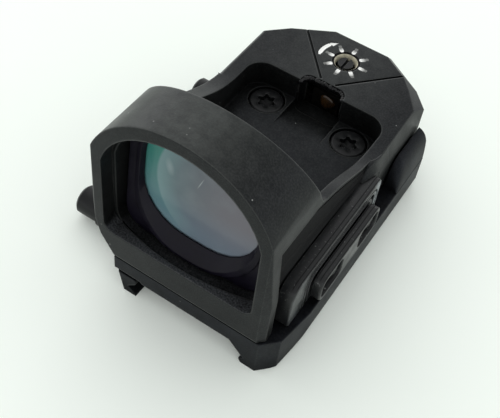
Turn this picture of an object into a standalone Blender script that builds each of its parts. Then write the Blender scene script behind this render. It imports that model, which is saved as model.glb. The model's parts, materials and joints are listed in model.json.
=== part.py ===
"""Open reflex dot finder on a rail clamp, built as an assembly of separate pieces.

The sight frame has X to the right, Y from the front face to the rear and Z up from the seam
between the sight and its mount. An empty carries that frame, so that the world origin lies
on the rail seat, in the middle of the rail channel.
"""

import math

import bmesh
import bpy
from mathutils import Matrix, Vector

MM = 0.001

# Clearances between pieces, in millimetres like every size below
SEAM = 0.3
FIT = 0.25
RUNNING_FIT = 0.3
OVERCUT = 1.5

# Housing
BODY_WIDTH = 30.4
BODY_LENGTH = 55.0
FRONT_CHAMFER = 1.0
REAR_EDGE_WIDTH = 10.8
REAR_CUT = 7.4
REAR_BULGE = 0.7
BLOCK_FLARE = 0.1
BLOCK_LEAD = 7.3
BLOCK_TOP = 10.2
BLOCK_LENGTH = 15.1
BLOCK_CHAMFER = 1.2
FLANK_CHAMFER = 0.5
DECK_HEIGHT = 5.6
SIDE_WALL = 2.5
KNEE_HEIGHT = 9.0
RECESS_CORNER = 3.2

# Hood and window
SHOULDER_INSET = 0.9
SHOULDER_HEIGHT = 22.4
CROWN_HEIGHT = 32.4
CROWN_WALL = 2.1
HOOD_DEPTH = 8.0
HOOD_RAKE = 0.36
ARM_ROOT_DEPTH = 16.0
ARM_ROOT_HEIGHT = 16.6
SILL_HEIGHT = 5.45
SILL_CORNER = 1.8
WINDOW_DROP = 1.9
FRAME_DEPTH = 2.5
LEDGE_MIDDLE = 0.8
BORE_STEP = 0.5
BORE_DROP = 1.45
BORE_CORNER = 4.0
BORE_END = 9.6
REAR_LEDGE = 0.9

# Lens and its bezel, which lean back so that the dot is thrown to the eye
LENS_SETBACK = 2.8
LENS_TILT = math.radians(5.5)
LENS_THICKNESS = 1.4
LENS_SAG = 0.5
BEZEL_DEPTH = 1.9
BEZEL_FLANGE = 0.6
BEZEL_GAP = 1.6
BEZEL_LIP = 0.35
BEZEL_SIDE = 2.6
BEZEL_FOOT = 3.4
BEZEL_CORNER = 7.8
BEZEL_SAG = 1.2

# Deck screws with their ramp and emitter notch
SCREW_SPACING = 15.7
SCREW_SETBACK = 3.3
SCREW_HEAD = 5.8
SCREW_HEAD_HEIGHT = 1.1
SCREW_SHANK = 2.6
SCREW_REACH = 2.3
TORX_SIZE = 2.7
TORX_DEPTH = 0.7
RAMP_WIDTH = 8.4
RAMP_LENGTH = 7.0
RAMP_DEPTH = 1.3
NOTCH_DEPTH = 2.0
NOTCH_CORNER = 1.5

# Adjusters and the emitter in the rear block
CAVITY_WIDTH = 15.0
CAVITY_LENGTH = 10.4
BLOCK_ROOF = 1.7
DIAL_SETBACK = 8.4
DIAL_SCREW = 2.7
DIAL_SEAL_WIDTH = 0.55
DIAL_SEAL_HEIGHT = 0.7
DIAL_SINK = 0.35
DIAL_SLOT = 0.5
GROOVE_WIDTH = 0.4
GROOVE_DEPTH = 0.35
GROOVE_SPREAD = 7.4
TICK_COUNT = 8
TICK_RADIUS = 2.3
TICK_LENGTH = 1.25
TICK_WIDTH = 0.75
MARK_DEPTH = 0.2
ARROW_RADIUS = 4.7
ARROW_START = 195.0
ARROW_END = 150.0
ARROW_HEAD = 1.2
WINDAGE_SETBACK = 3.4
WINDAGE_HEIGHT = 4.2
WINDAGE_SINK = 1.0
BOARD_THICKNESS = 0.8
CARRIAGE_WIDTH = 9.0
CARRIAGE_LENGTH = 7.6
CARRIAGE_FLOOR = 0.8
CARRIAGE_RAIL = 1.2
CARRIAGE_RAIL_HEIGHT = 2.6
EMITTER_WIDTH = 5.0
EMITTER_LENGTH = 3.0
EMITTER_HEIGHT = 4.0
EMITTER_ARM = 1.1
EMITTER_TRAVEL = 0.4
LED_WIDTH = 2.0
LED_HEIGHT = 1.7
LED_THICKNESS = 0.5
LED_OFFSET = 0.6
SPRING_RADIUS = 0.9
SPRING_WIRE = 0.3
SPRING_TURNS = 2.5

# Battery bay under the deck
BAY_ROOF = 1.6
CELL_DIAMETER = 16.0
CELL_THICKNESS = 3.2
CELL_SETBACK = 14.6
CONTACT_THICKNESS = 0.2
CONTACT_WIDTH = 5.0
CONTACT_LENGTH = 11.0
WIRE_BORE = 1.4
WIRE_HEIGHT = 1.6
SEAL_LAND = 0.9
SEAL_WIDTH = 1.0
SEAL_HEIGHT = 0.8

# Keypad on the right side
POCKET_DEPTH = 1.3
POCKET_TOP = 19.2
POCKET_LEAD = 2.4
PAD_FRONT = 4.8
PAD_LENGTH = 26.2
PAD_TOP = 8.8
PAD_PROUD = 1.3
PAD_NOSE = 2.6
BAR_FRONT = 10.4
BAR_END = 1.0
BAR_BOTTOM = 0.5
BAR_TOP = 6.0
BAR_PROUD = 1.5
BUTTON_LENGTH = 5.0
BUTTON_HEIGHT = 3.2
BUTTON_SPACING = 11.0
BUTTON_SINK = 0.5
BUTTON_DISH = 0.3
BUTTON_GAP = 0.45
BUTTON_TRAVEL = 0.35
STEM_DIAMETER = 2.0
DOME_DIAMETER = 3.4
DOME_HEIGHT = 0.45
SWITCH_BOARD_THICKNESS = 0.5

# Rail clamp
RAIL_OFFSET = 2.0
RAIL_WIDTH = 21.2
RAIL_TOP_WIDTH = 15.7
PLATE_THICKNESS = 3.15
LEFT_PLATE_THICKNESS = 2.75
JAW_DEPTH = 4.3
MOUNT_SETBACK = 2.0
SHELF_WIDTH = 2.8
SHELF_LEAD = 9.0
SHELF_TAPER = 1.3
PLATE_OVERHANG = 4.2
CORNER_CUT = 3.3
REAR_CORNER_CUT = 6.5
EAR_FRONT = 36.6
EAR_LENGTH = 10.6
EAR_HEIGHT = 5.3
EAR_FALL = 2.8
CLAMP_CORNER = 2.6
JAW_ROUND = 2.2
CLAMP_TOP_GAP = 0.6
CLAMP_THICKNESS = 3.7
BOLT_SPACING = 31.6
BOLT_SHIFT = -2.1
BOLT_DROP = 1.45
BOLT_SHANK = 2.4
BOLT_RELIEF = 0.5
BOLT_WALL = 1.2
BOLT_HEAD = 4.9
BOLT_HEAD_LENGTH = 4.2
COLLAR_DIAMETER = 5.6
COLLAR_LENGTH = 4.4
HEX_SIZE = 2.5
HEX_DEPTH = 1.8

# Places that follow from the sizes above
HALF_BODY = BODY_WIDTH / 2
HALF_BLOCK = HALF_BODY + BLOCK_FLARE
HOUSING_FLOOR = SEAM / 2
PLATE_TOP = -SEAM / 2
RAIL_SEAT = PLATE_TOP - PLATE_THICKNESS
MOUNT_LENGTH = BODY_LENGTH - MOUNT_SETBACK
RECESS_END = BODY_LENGTH - BLOCK_LENGTH
HALF_WINDOW = HALF_BODY - SIDE_WALL
HALF_BORE = HALF_WINDOW - BORE_STEP
WINDOW_CROWN = CROWN_HEIGHT - CROWN_WALL
WINDOW_SHOULDER = SHOULDER_HEIGHT - WINDOW_DROP
HALF_RECESS = HALF_WINDOW - FIT
SCREW_Y = RECESS_END - SCREW_SETBACK
CELL_Y = SCREW_Y - CELL_SETBACK
DIAL_Y = RECESS_END + DIAL_SETBACK
WINDAGE_Y = RECESS_END + WINDAGE_SETBACK
CAVITY_FRONT = RECESS_END + NOTCH_DEPTH - FIT
CAVITY_TOP = BLOCK_TOP - BLOCK_ROOF
POCKET_WALL = HALF_BODY - POCKET_DEPTH
PAD_FACE = HALF_BODY + PAD_PROUD
PAD_REAR = PAD_FRONT + PAD_LENGTH
BAR_FACE = PAD_FACE + FIT + BAR_PROUD
BAR_LENGTH = BUTTON_SPACING + BUTTON_LENGTH + 2 * BAR_END
BAR_MIDDLE = BAR_FRONT + BAR_LENGTH / 2
BUTTON_Z = (BAR_BOTTOM + BAR_TOP) / 2
SHELF_EDGE = HALF_BODY + SHELF_WIDTH
PLATE_LEFT = -HALF_BODY + PLATE_OVERHANG
BOLT_Z = RAIL_SEAT - BOLT_DROP
BOLT_MIDDLE = MOUNT_LENGTH / 2 + BOLT_SHIFT
CLAMP_INNER = PLATE_LEFT - RUNNING_FIT
CLAMP_FACE = CLAMP_INNER - CLAMP_THICKNESS

# Finishes: colour in sRGB, roughness and metallic value
FINISHES = {
    "anodised_black": ("#232426", 0.55, 0.6),
    "mount_black": ("#1F2022", 0.5, 0.6),
    "blackened_steel": ("#1A1A1B", 0.35, 0.9),
    "lens_glass": ("#8FA6B0", 0.05, 0.0),
    "bezel_black": ("#17131C", 0.2, 0.0),
    "nitrile_rubber": ("#151515", 0.8, 0.0),
    "keypad_rubber": ("#2A2A2C", 0.7, 0.0),
    "cell_steel": ("#B9B9B6", 0.3, 1.0),
    "spring_bronze": ("#B08D57", 0.35, 1.0),
    "board_green": ("#1E4D2B", 0.5, 0.0),
    "emitter_amber": ("#9A6A3A", 0.3, 0.0),
    "seal_beige": ("#C9BE9C", 0.6, 0.0),
    "brass": ("#B5A642", 0.35, 1.0),
}


def clear_scene():
    for obj in list(bpy.data.objects):
        bpy.data.objects.remove(obj, do_unlink=True)


def linear(value):
    if value <= 0.04045:
        return value / 12.92
    return ((value + 0.055) / 1.055) ** 2.4


def make_materials():
    made = {}
    for name, (colour, roughness, metallic) in FINISHES.items():
        material = bpy.data.materials.new(name)
        material.use_nodes = True
        shader = material.node_tree.nodes["Principled BSDF"]
        channels = [linear(int(colour[i : i + 2], 16) / 255) for i in (1, 3, 5)]
        shader.inputs["Base Color"].default_value = (*channels, 1.0)
        shader.inputs["Roughness"].default_value = roughness
        shader.inputs["Metallic"].default_value = metallic
        made[name] = material
    return made


clear_scene()
MATERIALS = make_materials()
PARTS = bpy.data.collections.new("reflex_dot_finder")
CUTTERS = bpy.data.collections.new("cutters")
bpy.context.scene.collection.children.link(PARTS)
bpy.context.scene.collection.children.link(CUTTERS)
SIGHT = bpy.data.objects.new("sight_frame", None)
PARTS.objects.link(SIGHT)
SIGHT.location = Vector((-RAIL_OFFSET, -MOUNT_LENGTH / 2, -RAIL_SEAT)) * MM


# Outlines, as lists of points in millimetres
def arc(centre, radius, start, end, steps):
    """Points on an arc, with its angles in degrees."""
    points = []
    for i in range(steps + 1):
        angle = math.radians(start + (end - start) * i / steps)
        points.append((centre[0] + radius * math.cos(angle), centre[1] + radius * math.sin(angle)))
    return points


def arch(half, spring, crown, steps):
    """An arc from the right spring point over the crown to the left one."""
    rise = crown - spring
    radius = (half * half + rise * rise) / (2 * rise)
    start = math.degrees(math.atan2(spring - (crown - radius), half))
    return arc((0, crown - radius), radius, start, 180 - start, steps)


def rounded_arch(half, bottom, corner, spring, crown):
    """A window outline: flat sill, rounded lower corners, straight sides and an arched top."""
    right = arc((half - corner, bottom + corner), corner, -90, 0, 6)
    left = arc((-half + corner, bottom + corner), corner, 180, 270, 6)
    return right + arch(half, spring, crown, 20) + left


def rounded_box(x0, y0, x1, y1, radius, steps=4):
    """A rectangle with four rounded corners."""
    points = arc((x1 - radius, y0 + radius), radius, -90, 0, steps)
    points += arc((x1 - radius, y1 - radius), radius, 0, 90, steps)
    points += arc((x0 + radius, y1 - radius), radius, 90, 180, steps)
    return points + arc((x0 + radius, y0 + radius), radius, 180, 270, steps)


def bezier(controls, steps):
    """Points on a Bezier curve of any degree."""
    points = []
    for i in range(steps + 1):
        level = [Vector(p) for p in controls]
        while len(level) > 1:
            level = [a.lerp(b, i / steps) for a, b in zip(level, level[1:])]
        points.append(tuple(level[0]))
    return points


def bow(half, middle, rise, steps=16):
    """A parabola across a width, from its left end to its right one, lowest in the middle."""
    shares = [2 * i / steps - 1 for i in range(steps + 1)]
    return [(half * share, middle + rise * share * share) for share in shares]


# Solids, as bmeshes in millimetres
def prism(points, lo, hi, axis):
    """An outline pushed along one axis. Outlines lie in XY, XZ or YZ."""
    places = {
        "X": lambda u, v, w: (w, u, v),
        "Y": lambda u, v, w: (u, w, v),
        "Z": lambda u, v, w: (u, v, w),
    }
    bm = bmesh.new()
    face = bm.faces.new([bm.verts.new(places[axis](u, v, lo)) for u, v in points])
    pushed = bmesh.ops.extrude_face_region(bm, geom=[face])["geom"]
    shift = Vector(places[axis](0, 0, hi - lo))
    bmesh.ops.translate(bm, vec=shift, verts=[v for v in pushed if isinstance(v, bmesh.types.BMVert)])
    bmesh.ops.recalc_face_normals(bm, faces=bm.faces)
    return bm


def box(x0, x1, y0, y1, z0, z1):
    bm = bmesh.new()
    bmesh.ops.create_cube(bm, size=1.0)
    bmesh.ops.scale(bm, vec=(x1 - x0, y1 - y0, z1 - z0), verts=bm.verts)
    bmesh.ops.translate(bm, vec=((x0 + x1) / 2, (y0 + y1) / 2, (z0 + z1) / 2), verts=bm.verts)
    return bm


def rod(centre, radius, lo, hi, axis, sides=32, top_radius=None):
    """A cylinder or cone along one axis, round a point of the plane across it."""
    bm = bmesh.new()
    far = radius if top_radius is None else top_radius
    bmesh.ops.create_cone(bm, cap_ends=True, segments=sides, radius1=radius, radius2=far, depth=hi - lo)
    quarter = math.pi / 2
    turn = {"X": Matrix.Rotation(quarter, 4, "Y"), "Y": Matrix.Rotation(-quarter, 4, "X"), "Z": Matrix()}
    middle = (lo + hi) / 2
    places = {"Z": (*centre, middle), "X": (middle, *centre), "Y": (centre[0], middle, centre[1])}
    bmesh.ops.transform(bm, matrix=Matrix.Translation(places[axis]) @ turn[axis], verts=bm.verts)
    return bm


def rings(outlines):
    """A closed loft through rings of points, each with as many points, capped at both ends."""
    bm = bmesh.new()
    made = [[bm.verts.new(p) for p in outline] for outline in outlines]
    for low, high in zip(made, made[1:]):
        for i in range(len(low)):
            bm.faces.new((low[i - 1], low[i], high[i], high[i - 1]))
    bm.faces.new(made[0])
    bm.faces.new(made[-1])
    bmesh.ops.recalc_face_normals(bm, faces=bm.faces)
    return bm


def turned(profile, axis, centre, start=0.0, sides=48):
    """A turned solid from (radius, distance) pairs along an axis through a point."""
    loops = []
    for radius, distance in profile:
        loop = []
        for angle in turns(sides):
            u = centre[0] + radius * math.cos(angle)
            v = centre[1] + radius * math.sin(angle)
            w = start + distance
            loop.append((u, v, w) if axis == "Z" else (w, u, v))
        loops.append(loop)
    return rings(loops)


def band(outer, inner, lo, hi):
    """An upright ring between two outlines with as many points each."""
    bm = bmesh.new()
    loops = []
    for outline, height in ((outer, lo), (outer, hi), (inner, hi), (inner, lo)):
        loops.append([bm.verts.new((*p, height)) for p in outline])
    for low, high in zip(loops, loops[1:] + loops[:1]):
        for i in range(len(low)):
            bm.faces.new((low[i - 1], low[i], high[i], high[i - 1]))
    bmesh.ops.recalc_face_normals(bm, faces=bm.faces)
    return bm


def edge_chamfer(start, end, side, up, width):
    """A wedge that takes the corner off a straight edge between two faces, given their normals."""
    start, end, side, up = Vector(start), Vector(end), Vector(side), Vector(up)
    along = (end - start).normalized() * OVERCUT
    reach = width + OVERCUT
    corners = (side * OVERCUT - up * reach, up * OVERCUT - side * reach, (side + up) * OVERCUT)
    return rings([[start - along + c for c in corners], [end + along + c for c in corners]])


def half_space(point, normal):
    """A large block whose near face passes through a point and looks against a normal."""
    size = 3 * BODY_LENGTH
    bm = box(-size, size, -size, size, 0, size)
    turn = Vector(normal).to_track_quat("Z", "Y").to_matrix().to_4x4()
    bmesh.ops.transform(bm, matrix=Matrix.Translation(point) @ turn, verts=bm.verts)
    return bm


def coil(centre, axis, lo, hi):
    """A small compression spring as one tube along a helix."""
    turn_points = 10
    count = int(SPRING_TURNS * turn_points)
    rise = (hi - lo - SPRING_WIRE) / count
    curve = bpy.data.curves.new("coil", "CURVE")
    curve.dimensions = "3D"
    curve.bevel_depth = SPRING_WIRE / 2 * MM
    curve.bevel_resolution = 1
    curve.use_fill_caps = True
    spline = curve.splines.new("POLY")
    spline.points.add(count)
    for i, point in enumerate(spline.points):
        angle = 2 * math.pi * i / turn_points
        u = centre[0] + SPRING_RADIUS * math.cos(angle)
        v = centre[1] + SPRING_RADIUS * math.sin(angle)
        w = lo + SPRING_WIRE / 2 + rise * i
        place = (u, v, w) if axis == "Z" else (w, u, v)
        point.co = (*(Vector(place) * MM), 1.0)
    holder = bpy.data.objects.new("coil", curve)
    CUTTERS.objects.link(holder)
    bpy.context.view_layer.update()
    evaluated = holder.evaluated_get(bpy.context.evaluated_depsgraph_get())
    mesh = bpy.data.meshes.new_from_object(evaluated)
    bpy.data.objects.remove(holder, do_unlink=True)
    bm = bmesh.new()
    bm.from_mesh(mesh)
    bpy.data.meshes.remove(mesh)
    bmesh.ops.remove_doubles(bm, verts=bm.verts, dist=SPRING_WIRE * MM / 100)
    bmesh.ops.scale(bm, vec=(1 / MM,) * 3, verts=bm.verts)
    bmesh.ops.recalc_face_normals(bm, faces=bm.faces)
    return bm


def place_mesh(name, bm, collection, origin=(0, 0, 0)):
    """A bmesh in the sight frame becomes an object whose own origin is at a given point."""
    bmesh.ops.translate(bm, vec=-Vector(origin), verts=bm.verts)
    bmesh.ops.scale(bm, vec=(MM,) * 3, verts=bm.verts)
    mesh = bpy.data.meshes.new(name)
    bm.to_mesh(mesh)
    bm.free()
    mesh.shade_smooth()
    mesh.set_sharp_from_angle(angle=math.radians(30))
    obj = bpy.data.objects.new(name, mesh)
    collection.objects.link(obj)
    obj.parent = SIGHT
    obj.location = Vector(origin) * MM
    return obj


def part(name, bm, finish, origin=(0, 0, 0)):
    obj = place_mesh(name, bm, PARTS, origin)
    obj.data.materials.append(MATERIALS[finish])
    return obj


def combine(obj, bm, operation, label):
    """Cuts, joins or intersects a part with a helper solid."""
    helper = place_mesh(f"{obj.name}_{label}", bm, CUTTERS)
    helper.hide_render = True
    helper.display_type = "WIRE"
    modifier = obj.modifiers.new(label, "BOOLEAN")
    modifier.operation = operation
    modifier.solver = "EXACT"
    modifier.object = helper


def cut(obj, bm, label):
    combine(obj, bm, "DIFFERENCE", label)


def join(obj, bm, label):
    combine(obj, bm, "UNION", label)


# Housing: hood, side arms, deck and rear block milled from one billet
def front_plan():
    """The plan of the hood and the arms, with the chamfered front run on past the sides."""
    wide = HALF_BODY + OVERCUT
    right = [(HALF_BODY - FRONT_CHAMFER, 0), (wide, FRONT_CHAMFER + OVERCUT), (wide, RECESS_END + OVERCUT)]
    return right + [(-x, y) for x, y in reversed(right)]


def block_plan():
    """The plan of the rear block, which flares out behind the arms and ends in two slanted corners."""
    start = RECESS_END - BLOCK_LEAD
    right = [(HALF_BODY, start), (HALF_BLOCK, start + BLOCK_FLARE)] + [tuple(spot) for spot in rear_corner()]
    return right + [(-x, y) for x, y in reversed(right)]


def rear_corner():
    """The block's right rear corner in plan: the flank's end, a bend a third along, the rear edge's end."""
    flank_end = Vector((HALF_BLOCK, BODY_LENGTH - REAR_CUT))
    rear_end = Vector((REAR_EDGE_WIDTH / 2, BODY_LENGTH))
    run = rear_end - flank_end
    outward = Vector((run.y, -run.x)).normalized()
    return [flank_end, flank_end + run / 3 + outward * REAR_BULGE, rear_end]


def side_cut():
    """The space behind the hood and above the arms and the rear block, seen from the side."""
    above = CROWN_HEIGHT + OVERCUT
    hood_foot = ARM_ROOT_HEIGHT + (CROWN_HEIGHT - ARM_ROOT_HEIGHT) * 0.3

    def rake(height):
        return HOOD_DEPTH + HOOD_RAKE * (CROWN_HEIGHT - height)

    arm_end = RECESS_END - 5.0
    reach = arm_end - ARM_ROOT_DEPTH
    drop = ARM_ROOT_HEIGHT - BLOCK_TOP
    outline = [(rake(above), above)]
    fillet = [(rake(hood_foot), hood_foot), (rake(ARM_ROOT_HEIGHT), ARM_ROOT_HEIGHT + 0.1 * drop)]
    outline += bezier(fillet + [(ARM_ROOT_DEPTH, ARM_ROOT_HEIGHT)], 8)
    slope = [(ARM_ROOT_DEPTH, ARM_ROOT_HEIGHT), (ARM_ROOT_DEPTH + 0.4 * reach, ARM_ROOT_HEIGHT - 0.27 * drop)]
    slope += [(arm_end - 0.42 * reach, BLOCK_TOP), (arm_end, BLOCK_TOP)]
    outline += bezier(slope, 12)[1:]
    outline += [(BODY_LENGTH + OVERCUT, BLOCK_TOP), (BODY_LENGTH + OVERCUT, above)]
    return outline


def window_outline():
    return rounded_arch(HALF_WINDOW, SILL_HEIGHT, SILL_CORNER, WINDOW_SHOULDER, WINDOW_CROWN)


def bore_outline(step=0.0, drop=BORE_DROP):
    """The lens seat behind the front frame, whose big lower corners fill those of the window."""
    inset = BORE_STEP + step
    return rounded_arch(
        HALF_WINDOW - inset, SILL_HEIGHT - drop, BORE_CORNER, WINDOW_SHOULDER - inset, WINDOW_CROWN - inset
    )


def gutter_plan():
    """The plan of the dip behind the sill, whose front edge bows towards the face in the middle."""
    rise = BORE_CORNER - BORE_DROP
    half = HALF_BORE - BORE_CORNER + math.sqrt(BORE_CORNER**2 - rise**2)
    points = bow(half, LEDGE_MIDDLE, FRAME_DEPTH - LEDGE_MIDDLE)
    return points + [(half, FRAME_DEPTH + FIT), (-half, FRAME_DEPTH + FIT)]


def build_housing():
    half_shoulder = HALF_BODY - SHOULDER_INSET
    below = HOUSING_FLOOR - OVERCUT
    profile = [(-HALF_BODY, below), (HALF_BODY, below), (HALF_BODY, KNEE_HEIGHT)]
    profile += arch(half_shoulder, SHOULDER_HEIGHT, CROWN_HEIGHT, 28) + [(-HALF_BODY, KNEE_HEIGHT)]
    housing = part("housing", prism(profile, -OVERCUT, BODY_LENGTH + OVERCUT, "Y"), "anodised_black")
    combine(housing, prism(front_plan(), 2 * below, CROWN_HEIGHT + OVERCUT, "Z"), "INTERSECT", "plan")
    join(housing, prism(block_plan(), below / 2, BLOCK_TOP + OVERCUT, "Z"), "rear_block")
    cut(housing, half_space((0, 0, HOUSING_FLOOR), (0, 0, -1)), "underside")
    cut(housing, prism(side_cut(), -2 * HALF_BODY, 2 * HALF_BODY, "X"), "side_profile")
    cut_recess(housing)
    cut_block_chamfers(housing)
    cut_adjuster_holes(housing)
    cut_keypad_pocket(housing)
    cut_battery_bay(housing)


def cut_recess(housing):
    """The window through the hood, the deck behind it, the ramp and the emitter notch."""
    cut(housing, prism(window_outline(), -OVERCUT, FRAME_DEPTH, "Y"), "window")
    cut(housing, prism(gutter_plan(), SILL_HEIGHT - BORE_DROP, SILL_HEIGHT + OVERCUT, "Z"), "sill_gutter")
    cut(housing, prism(bore_outline(), FRAME_DEPTH, LENS_SETBACK + BEZEL_DEPTH, "Y"), "front_bore")
    seat = lens_outline(0, -BORE_DROP, 0, BORE_CORNER)
    cut(housing, lean_back(prism(seat, -FIT, lens_depth() + FIT, "Y")), "lens_bore")
    rear = bore_outline(REAR_LEDGE, 0)
    cut(housing, prism(rear, LENS_SETBACK + BEZEL_DEPTH, BORE_END + FIT, "Y"), "rear_aperture")
    cut(housing, prism(window_outline(), BORE_END, ARM_ROOT_DEPTH - OVERCUT, "Y"), "rear_window")
    front = HOOD_DEPTH + 3 * OVERCUT
    corner = RECESS_CORNER
    deck = [(-HALF_RECESS, front), (HALF_RECESS, front)]
    deck += arc((HALF_RECESS - corner, RECESS_END - corner), corner, 0, 90, 8)
    deck += arc((-HALF_RECESS + corner, RECESS_END - corner), corner, 90, 180, 8)
    cut(housing, prism(deck, DECK_HEIGHT, ARM_ROOT_HEIGHT + OVERCUT, "Z"), "deck")
    ramp_start = RECESS_END - RAMP_LENGTH
    ramp_floor = DECK_HEIGHT - RAMP_DEPTH
    ramp = [(ramp_start, DECK_HEIGHT), (RECESS_END + FIT, ramp_floor)]
    ramp += [(RECESS_END + FIT, DECK_HEIGHT + OVERCUT), (ramp_start, DECK_HEIGHT + OVERCUT)]
    cut(housing, prism(ramp, -RAMP_WIDTH / 2, RAMP_WIDTH / 2, "X"), "ramp")
    notch = rounded_box(
        -RAMP_WIDTH / 2 + FIT, RECESS_END + NOTCH_DEPTH - 2 * NOTCH_CORNER - FIT,
        RAMP_WIDTH / 2 - FIT, RECESS_END + NOTCH_DEPTH, NOTCH_CORNER,
    )
    cut(housing, prism(notch, ramp_floor, BLOCK_TOP + OVERCUT, "Z"), "emitter_notch")
    for side, label in ((-1, "left"), (1, "right")):
        centre = (side * SCREW_SPACING / 2, SCREW_Y)
        seat = DECK_HEIGHT - SCREW_HEAD_HEIGHT - FIT
        counterbore = rod(centre, SCREW_HEAD / 2 + FIT, seat, DECK_HEIGHT + OVERCUT, "Z")
        cut(housing, counterbore, f"{label}_counterbore")
        hole = rod(centre, SCREW_SHANK / 2 + FIT, HOUSING_FLOOR - OVERCUT, seat + FIT, "Z", 20)
        cut(housing, hole, f"{label}_screw_hole")


def cut_block_chamfers(housing):
    """A flat chamfer round the top of the rear block and two fine grooves beside the dial."""
    rear_half = REAR_EDGE_WIDTH / 2
    side_end = BODY_LENGTH - REAR_CUT
    side_start = RECESS_END - BLOCK_LEAD + BLOCK_FLARE + OVERCUT
    up = (0, 0, 1)
    corner = rear_corner()
    for sign, label in ((1, "right"), (-1, "left")):
        flank = ((sign * HALF_BLOCK, side_start, BLOCK_TOP), (sign * HALF_BLOCK, side_end, BLOCK_TOP))
        cut(housing, edge_chamfer(*flank, (sign, 0, 0), up, FLANK_CHAMFER), f"{label}_flank")
        for i, ends in enumerate(zip(corner, corner[1:])):
            run = ends[1] - ends[0]
            outward = Vector((sign * run.y, -run.x, 0)).normalized()
            slant = [(sign * spot.x, spot.y, BLOCK_TOP) for spot in ends]
            cut(housing, edge_chamfer(*slant, outward, up, BLOCK_CHAMFER), f"{label}_slant_{i}")
        half = GROOVE_WIDTH / 2
        groove = box(-half, half, 0, BLOCK_LENGTH, BLOCK_TOP - GROOVE_DEPTH, BLOCK_TOP + OVERCUT)
        fan = math.atan2(GROOVE_SPREAD, DIAL_SETBACK)
        turn = Matrix.Translation((sign * DIAL_SCREW / 2, RECESS_END + NOTCH_DEPTH + FIT, 0))
        turn = turn @ Matrix.Rotation(-sign * fan, 4, "Z")
        bmesh.ops.transform(groove, matrix=turn, verts=groove.verts)
        cut(housing, groove, f"{label}_dial_groove")
    cut_dial_marks(housing)
    rear = ((-rear_half, BODY_LENGTH, BLOCK_TOP), (rear_half, BODY_LENGTH, BLOCK_TOP))
    cut(housing, edge_chamfer(*rear, (0, 1, 0), up, BLOCK_CHAMFER), "rear_edge")


def cut_dial_marks(housing):
    """Eight round-ended ticks about the dial and a curved arrow beside it."""
    floor = BLOCK_TOP - MARK_DEPTH
    above = BLOCK_TOP + OVERCUT
    half = TICK_WIDTH / 2
    tick = rounded_box(TICK_RADIUS, -half, TICK_RADIUS + TICK_LENGTH, half, half * 0.9, 3)
    for i, angle in enumerate(turns(TICK_COUNT)):
        mark = prism(tick, floor, above, "Z")
        turn = Matrix.Translation((0, DIAL_Y, 0)) @ Matrix.Rotation(angle, 4, "Z")
        bmesh.ops.transform(mark, matrix=turn, verts=mark.verts)
        cut(housing, mark, f"tick_{i}")
    dial = (0, DIAL_Y)
    sweep = arc(dial, ARROW_RADIUS - half, ARROW_START, ARROW_END, 8)
    sweep += arc(dial, ARROW_RADIUS + half, ARROW_END, ARROW_START, 8)
    cut(housing, prism(sweep, floor, above, "Z"), "arrow_sweep")
    head = [arc(dial, ARROW_RADIUS + reach, angle, angle, 1)[0] for reach, angle in arrow_corners()]
    cut(housing, prism(head, floor, above, "Z"), "arrow_head")


def arrow_corners():
    """The arrow head's three corners: how far each is from the sweep, and its angle about the dial."""
    half = ARROW_HEAD / 2
    base = ARROW_END + math.degrees(FIT / 2 / ARROW_RADIUS)
    tip = base - math.degrees(ARROW_HEAD * 1.3 / ARROW_RADIUS)
    return ((-half, base), (0, tip), (half, base))


def cut_adjuster_holes(housing):
    """The emitter cavity under the block and the bores of the two adjusting screws."""
    cavity = (-CAVITY_WIDTH / 2, CAVITY_WIDTH / 2, CAVITY_FRONT, CAVITY_FRONT + CAVITY_LENGTH)
    cut(housing, box(*cavity, HOUSING_FLOOR - OVERCUT, CAVITY_TOP), "emitter_cavity")
    dial = (0, DIAL_Y)
    bore = DIAL_SCREW / 2 + FIT
    seal = bore + DIAL_SEAL_WIDTH + FIT
    cut(housing, rod(dial, bore, CAVITY_TOP - OVERCUT, BLOCK_TOP + OVERCUT, "Z", 24), "dial_bore")
    seat = BLOCK_TOP - DIAL_SINK - DIAL_SEAL_HEIGHT - FIT
    cut(housing, rod(dial, seal, seat, BLOCK_TOP + OVERCUT, "Z"), "dial_seal_seat")
    flank = (WINDAGE_Y, WINDAGE_HEIGHT)
    inside = -CAVITY_WIDTH / 2 + OVERCUT
    cut(housing, rod(flank, bore, -HALF_BLOCK - OVERCUT, inside, "X", 24), "windage_bore")
    depth = WINDAGE_SINK + DIAL_SEAL_HEIGHT + FIT
    cut(housing, rod(flank, seal, -HALF_BLOCK - OVERCUT, -HALF_BLOCK + depth, "X"), "windage_seal_seat")


def cut_keypad_pocket(housing):
    """The side pocket that the keypad is bonded into, with a bore for its lead."""
    pocket = (POCKET_WALL, HALF_BODY + OVERCUT, PAD_FRONT - POCKET_LEAD, PAD_REAR + FIT)
    cut(housing, box(*pocket, HOUSING_FLOOR - OVERCUT, POCKET_TOP), "keypad_pocket")
    start = CELL_DIAMETER / 2 - OVERCUT
    lead = rod((CELL_Y, WIRE_HEIGHT), WIRE_BORE / 2, start, POCKET_WALL + OVERCUT, "X", 12)
    cut(housing, lead, "keypad_lead_bore")


def cut_battery_bay(housing):
    """A round bay under the deck for the cell, open to the emitter cavity by a drilled bore."""
    bay = rod((0, CELL_Y), CELL_DIAMETER / 2 + FIT, HOUSING_FLOOR - OVERCUT, bay_roof(), "Z", 48)
    cut(housing, bay, "battery_bay")
    start = CELL_Y + CELL_DIAMETER / 2 - OVERCUT
    cut(housing, rod((0, WIRE_HEIGHT), WIRE_BORE / 2, start, CAVITY_FRONT + OVERCUT, "Y", 12), "wire_bore")


# Battery bay: the cell sits half in the mount, between two leaf contacts
def cell_floor():
    return bay_roof() - 2 * FIT - CONTACT_THICKNESS - CELL_THICKNESS


def bay_roof():
    return DECK_HEIGHT - BAY_ROOF


def bay_floor():
    return cell_floor() - 2 * FIT - CONTACT_THICKNESS


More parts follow.
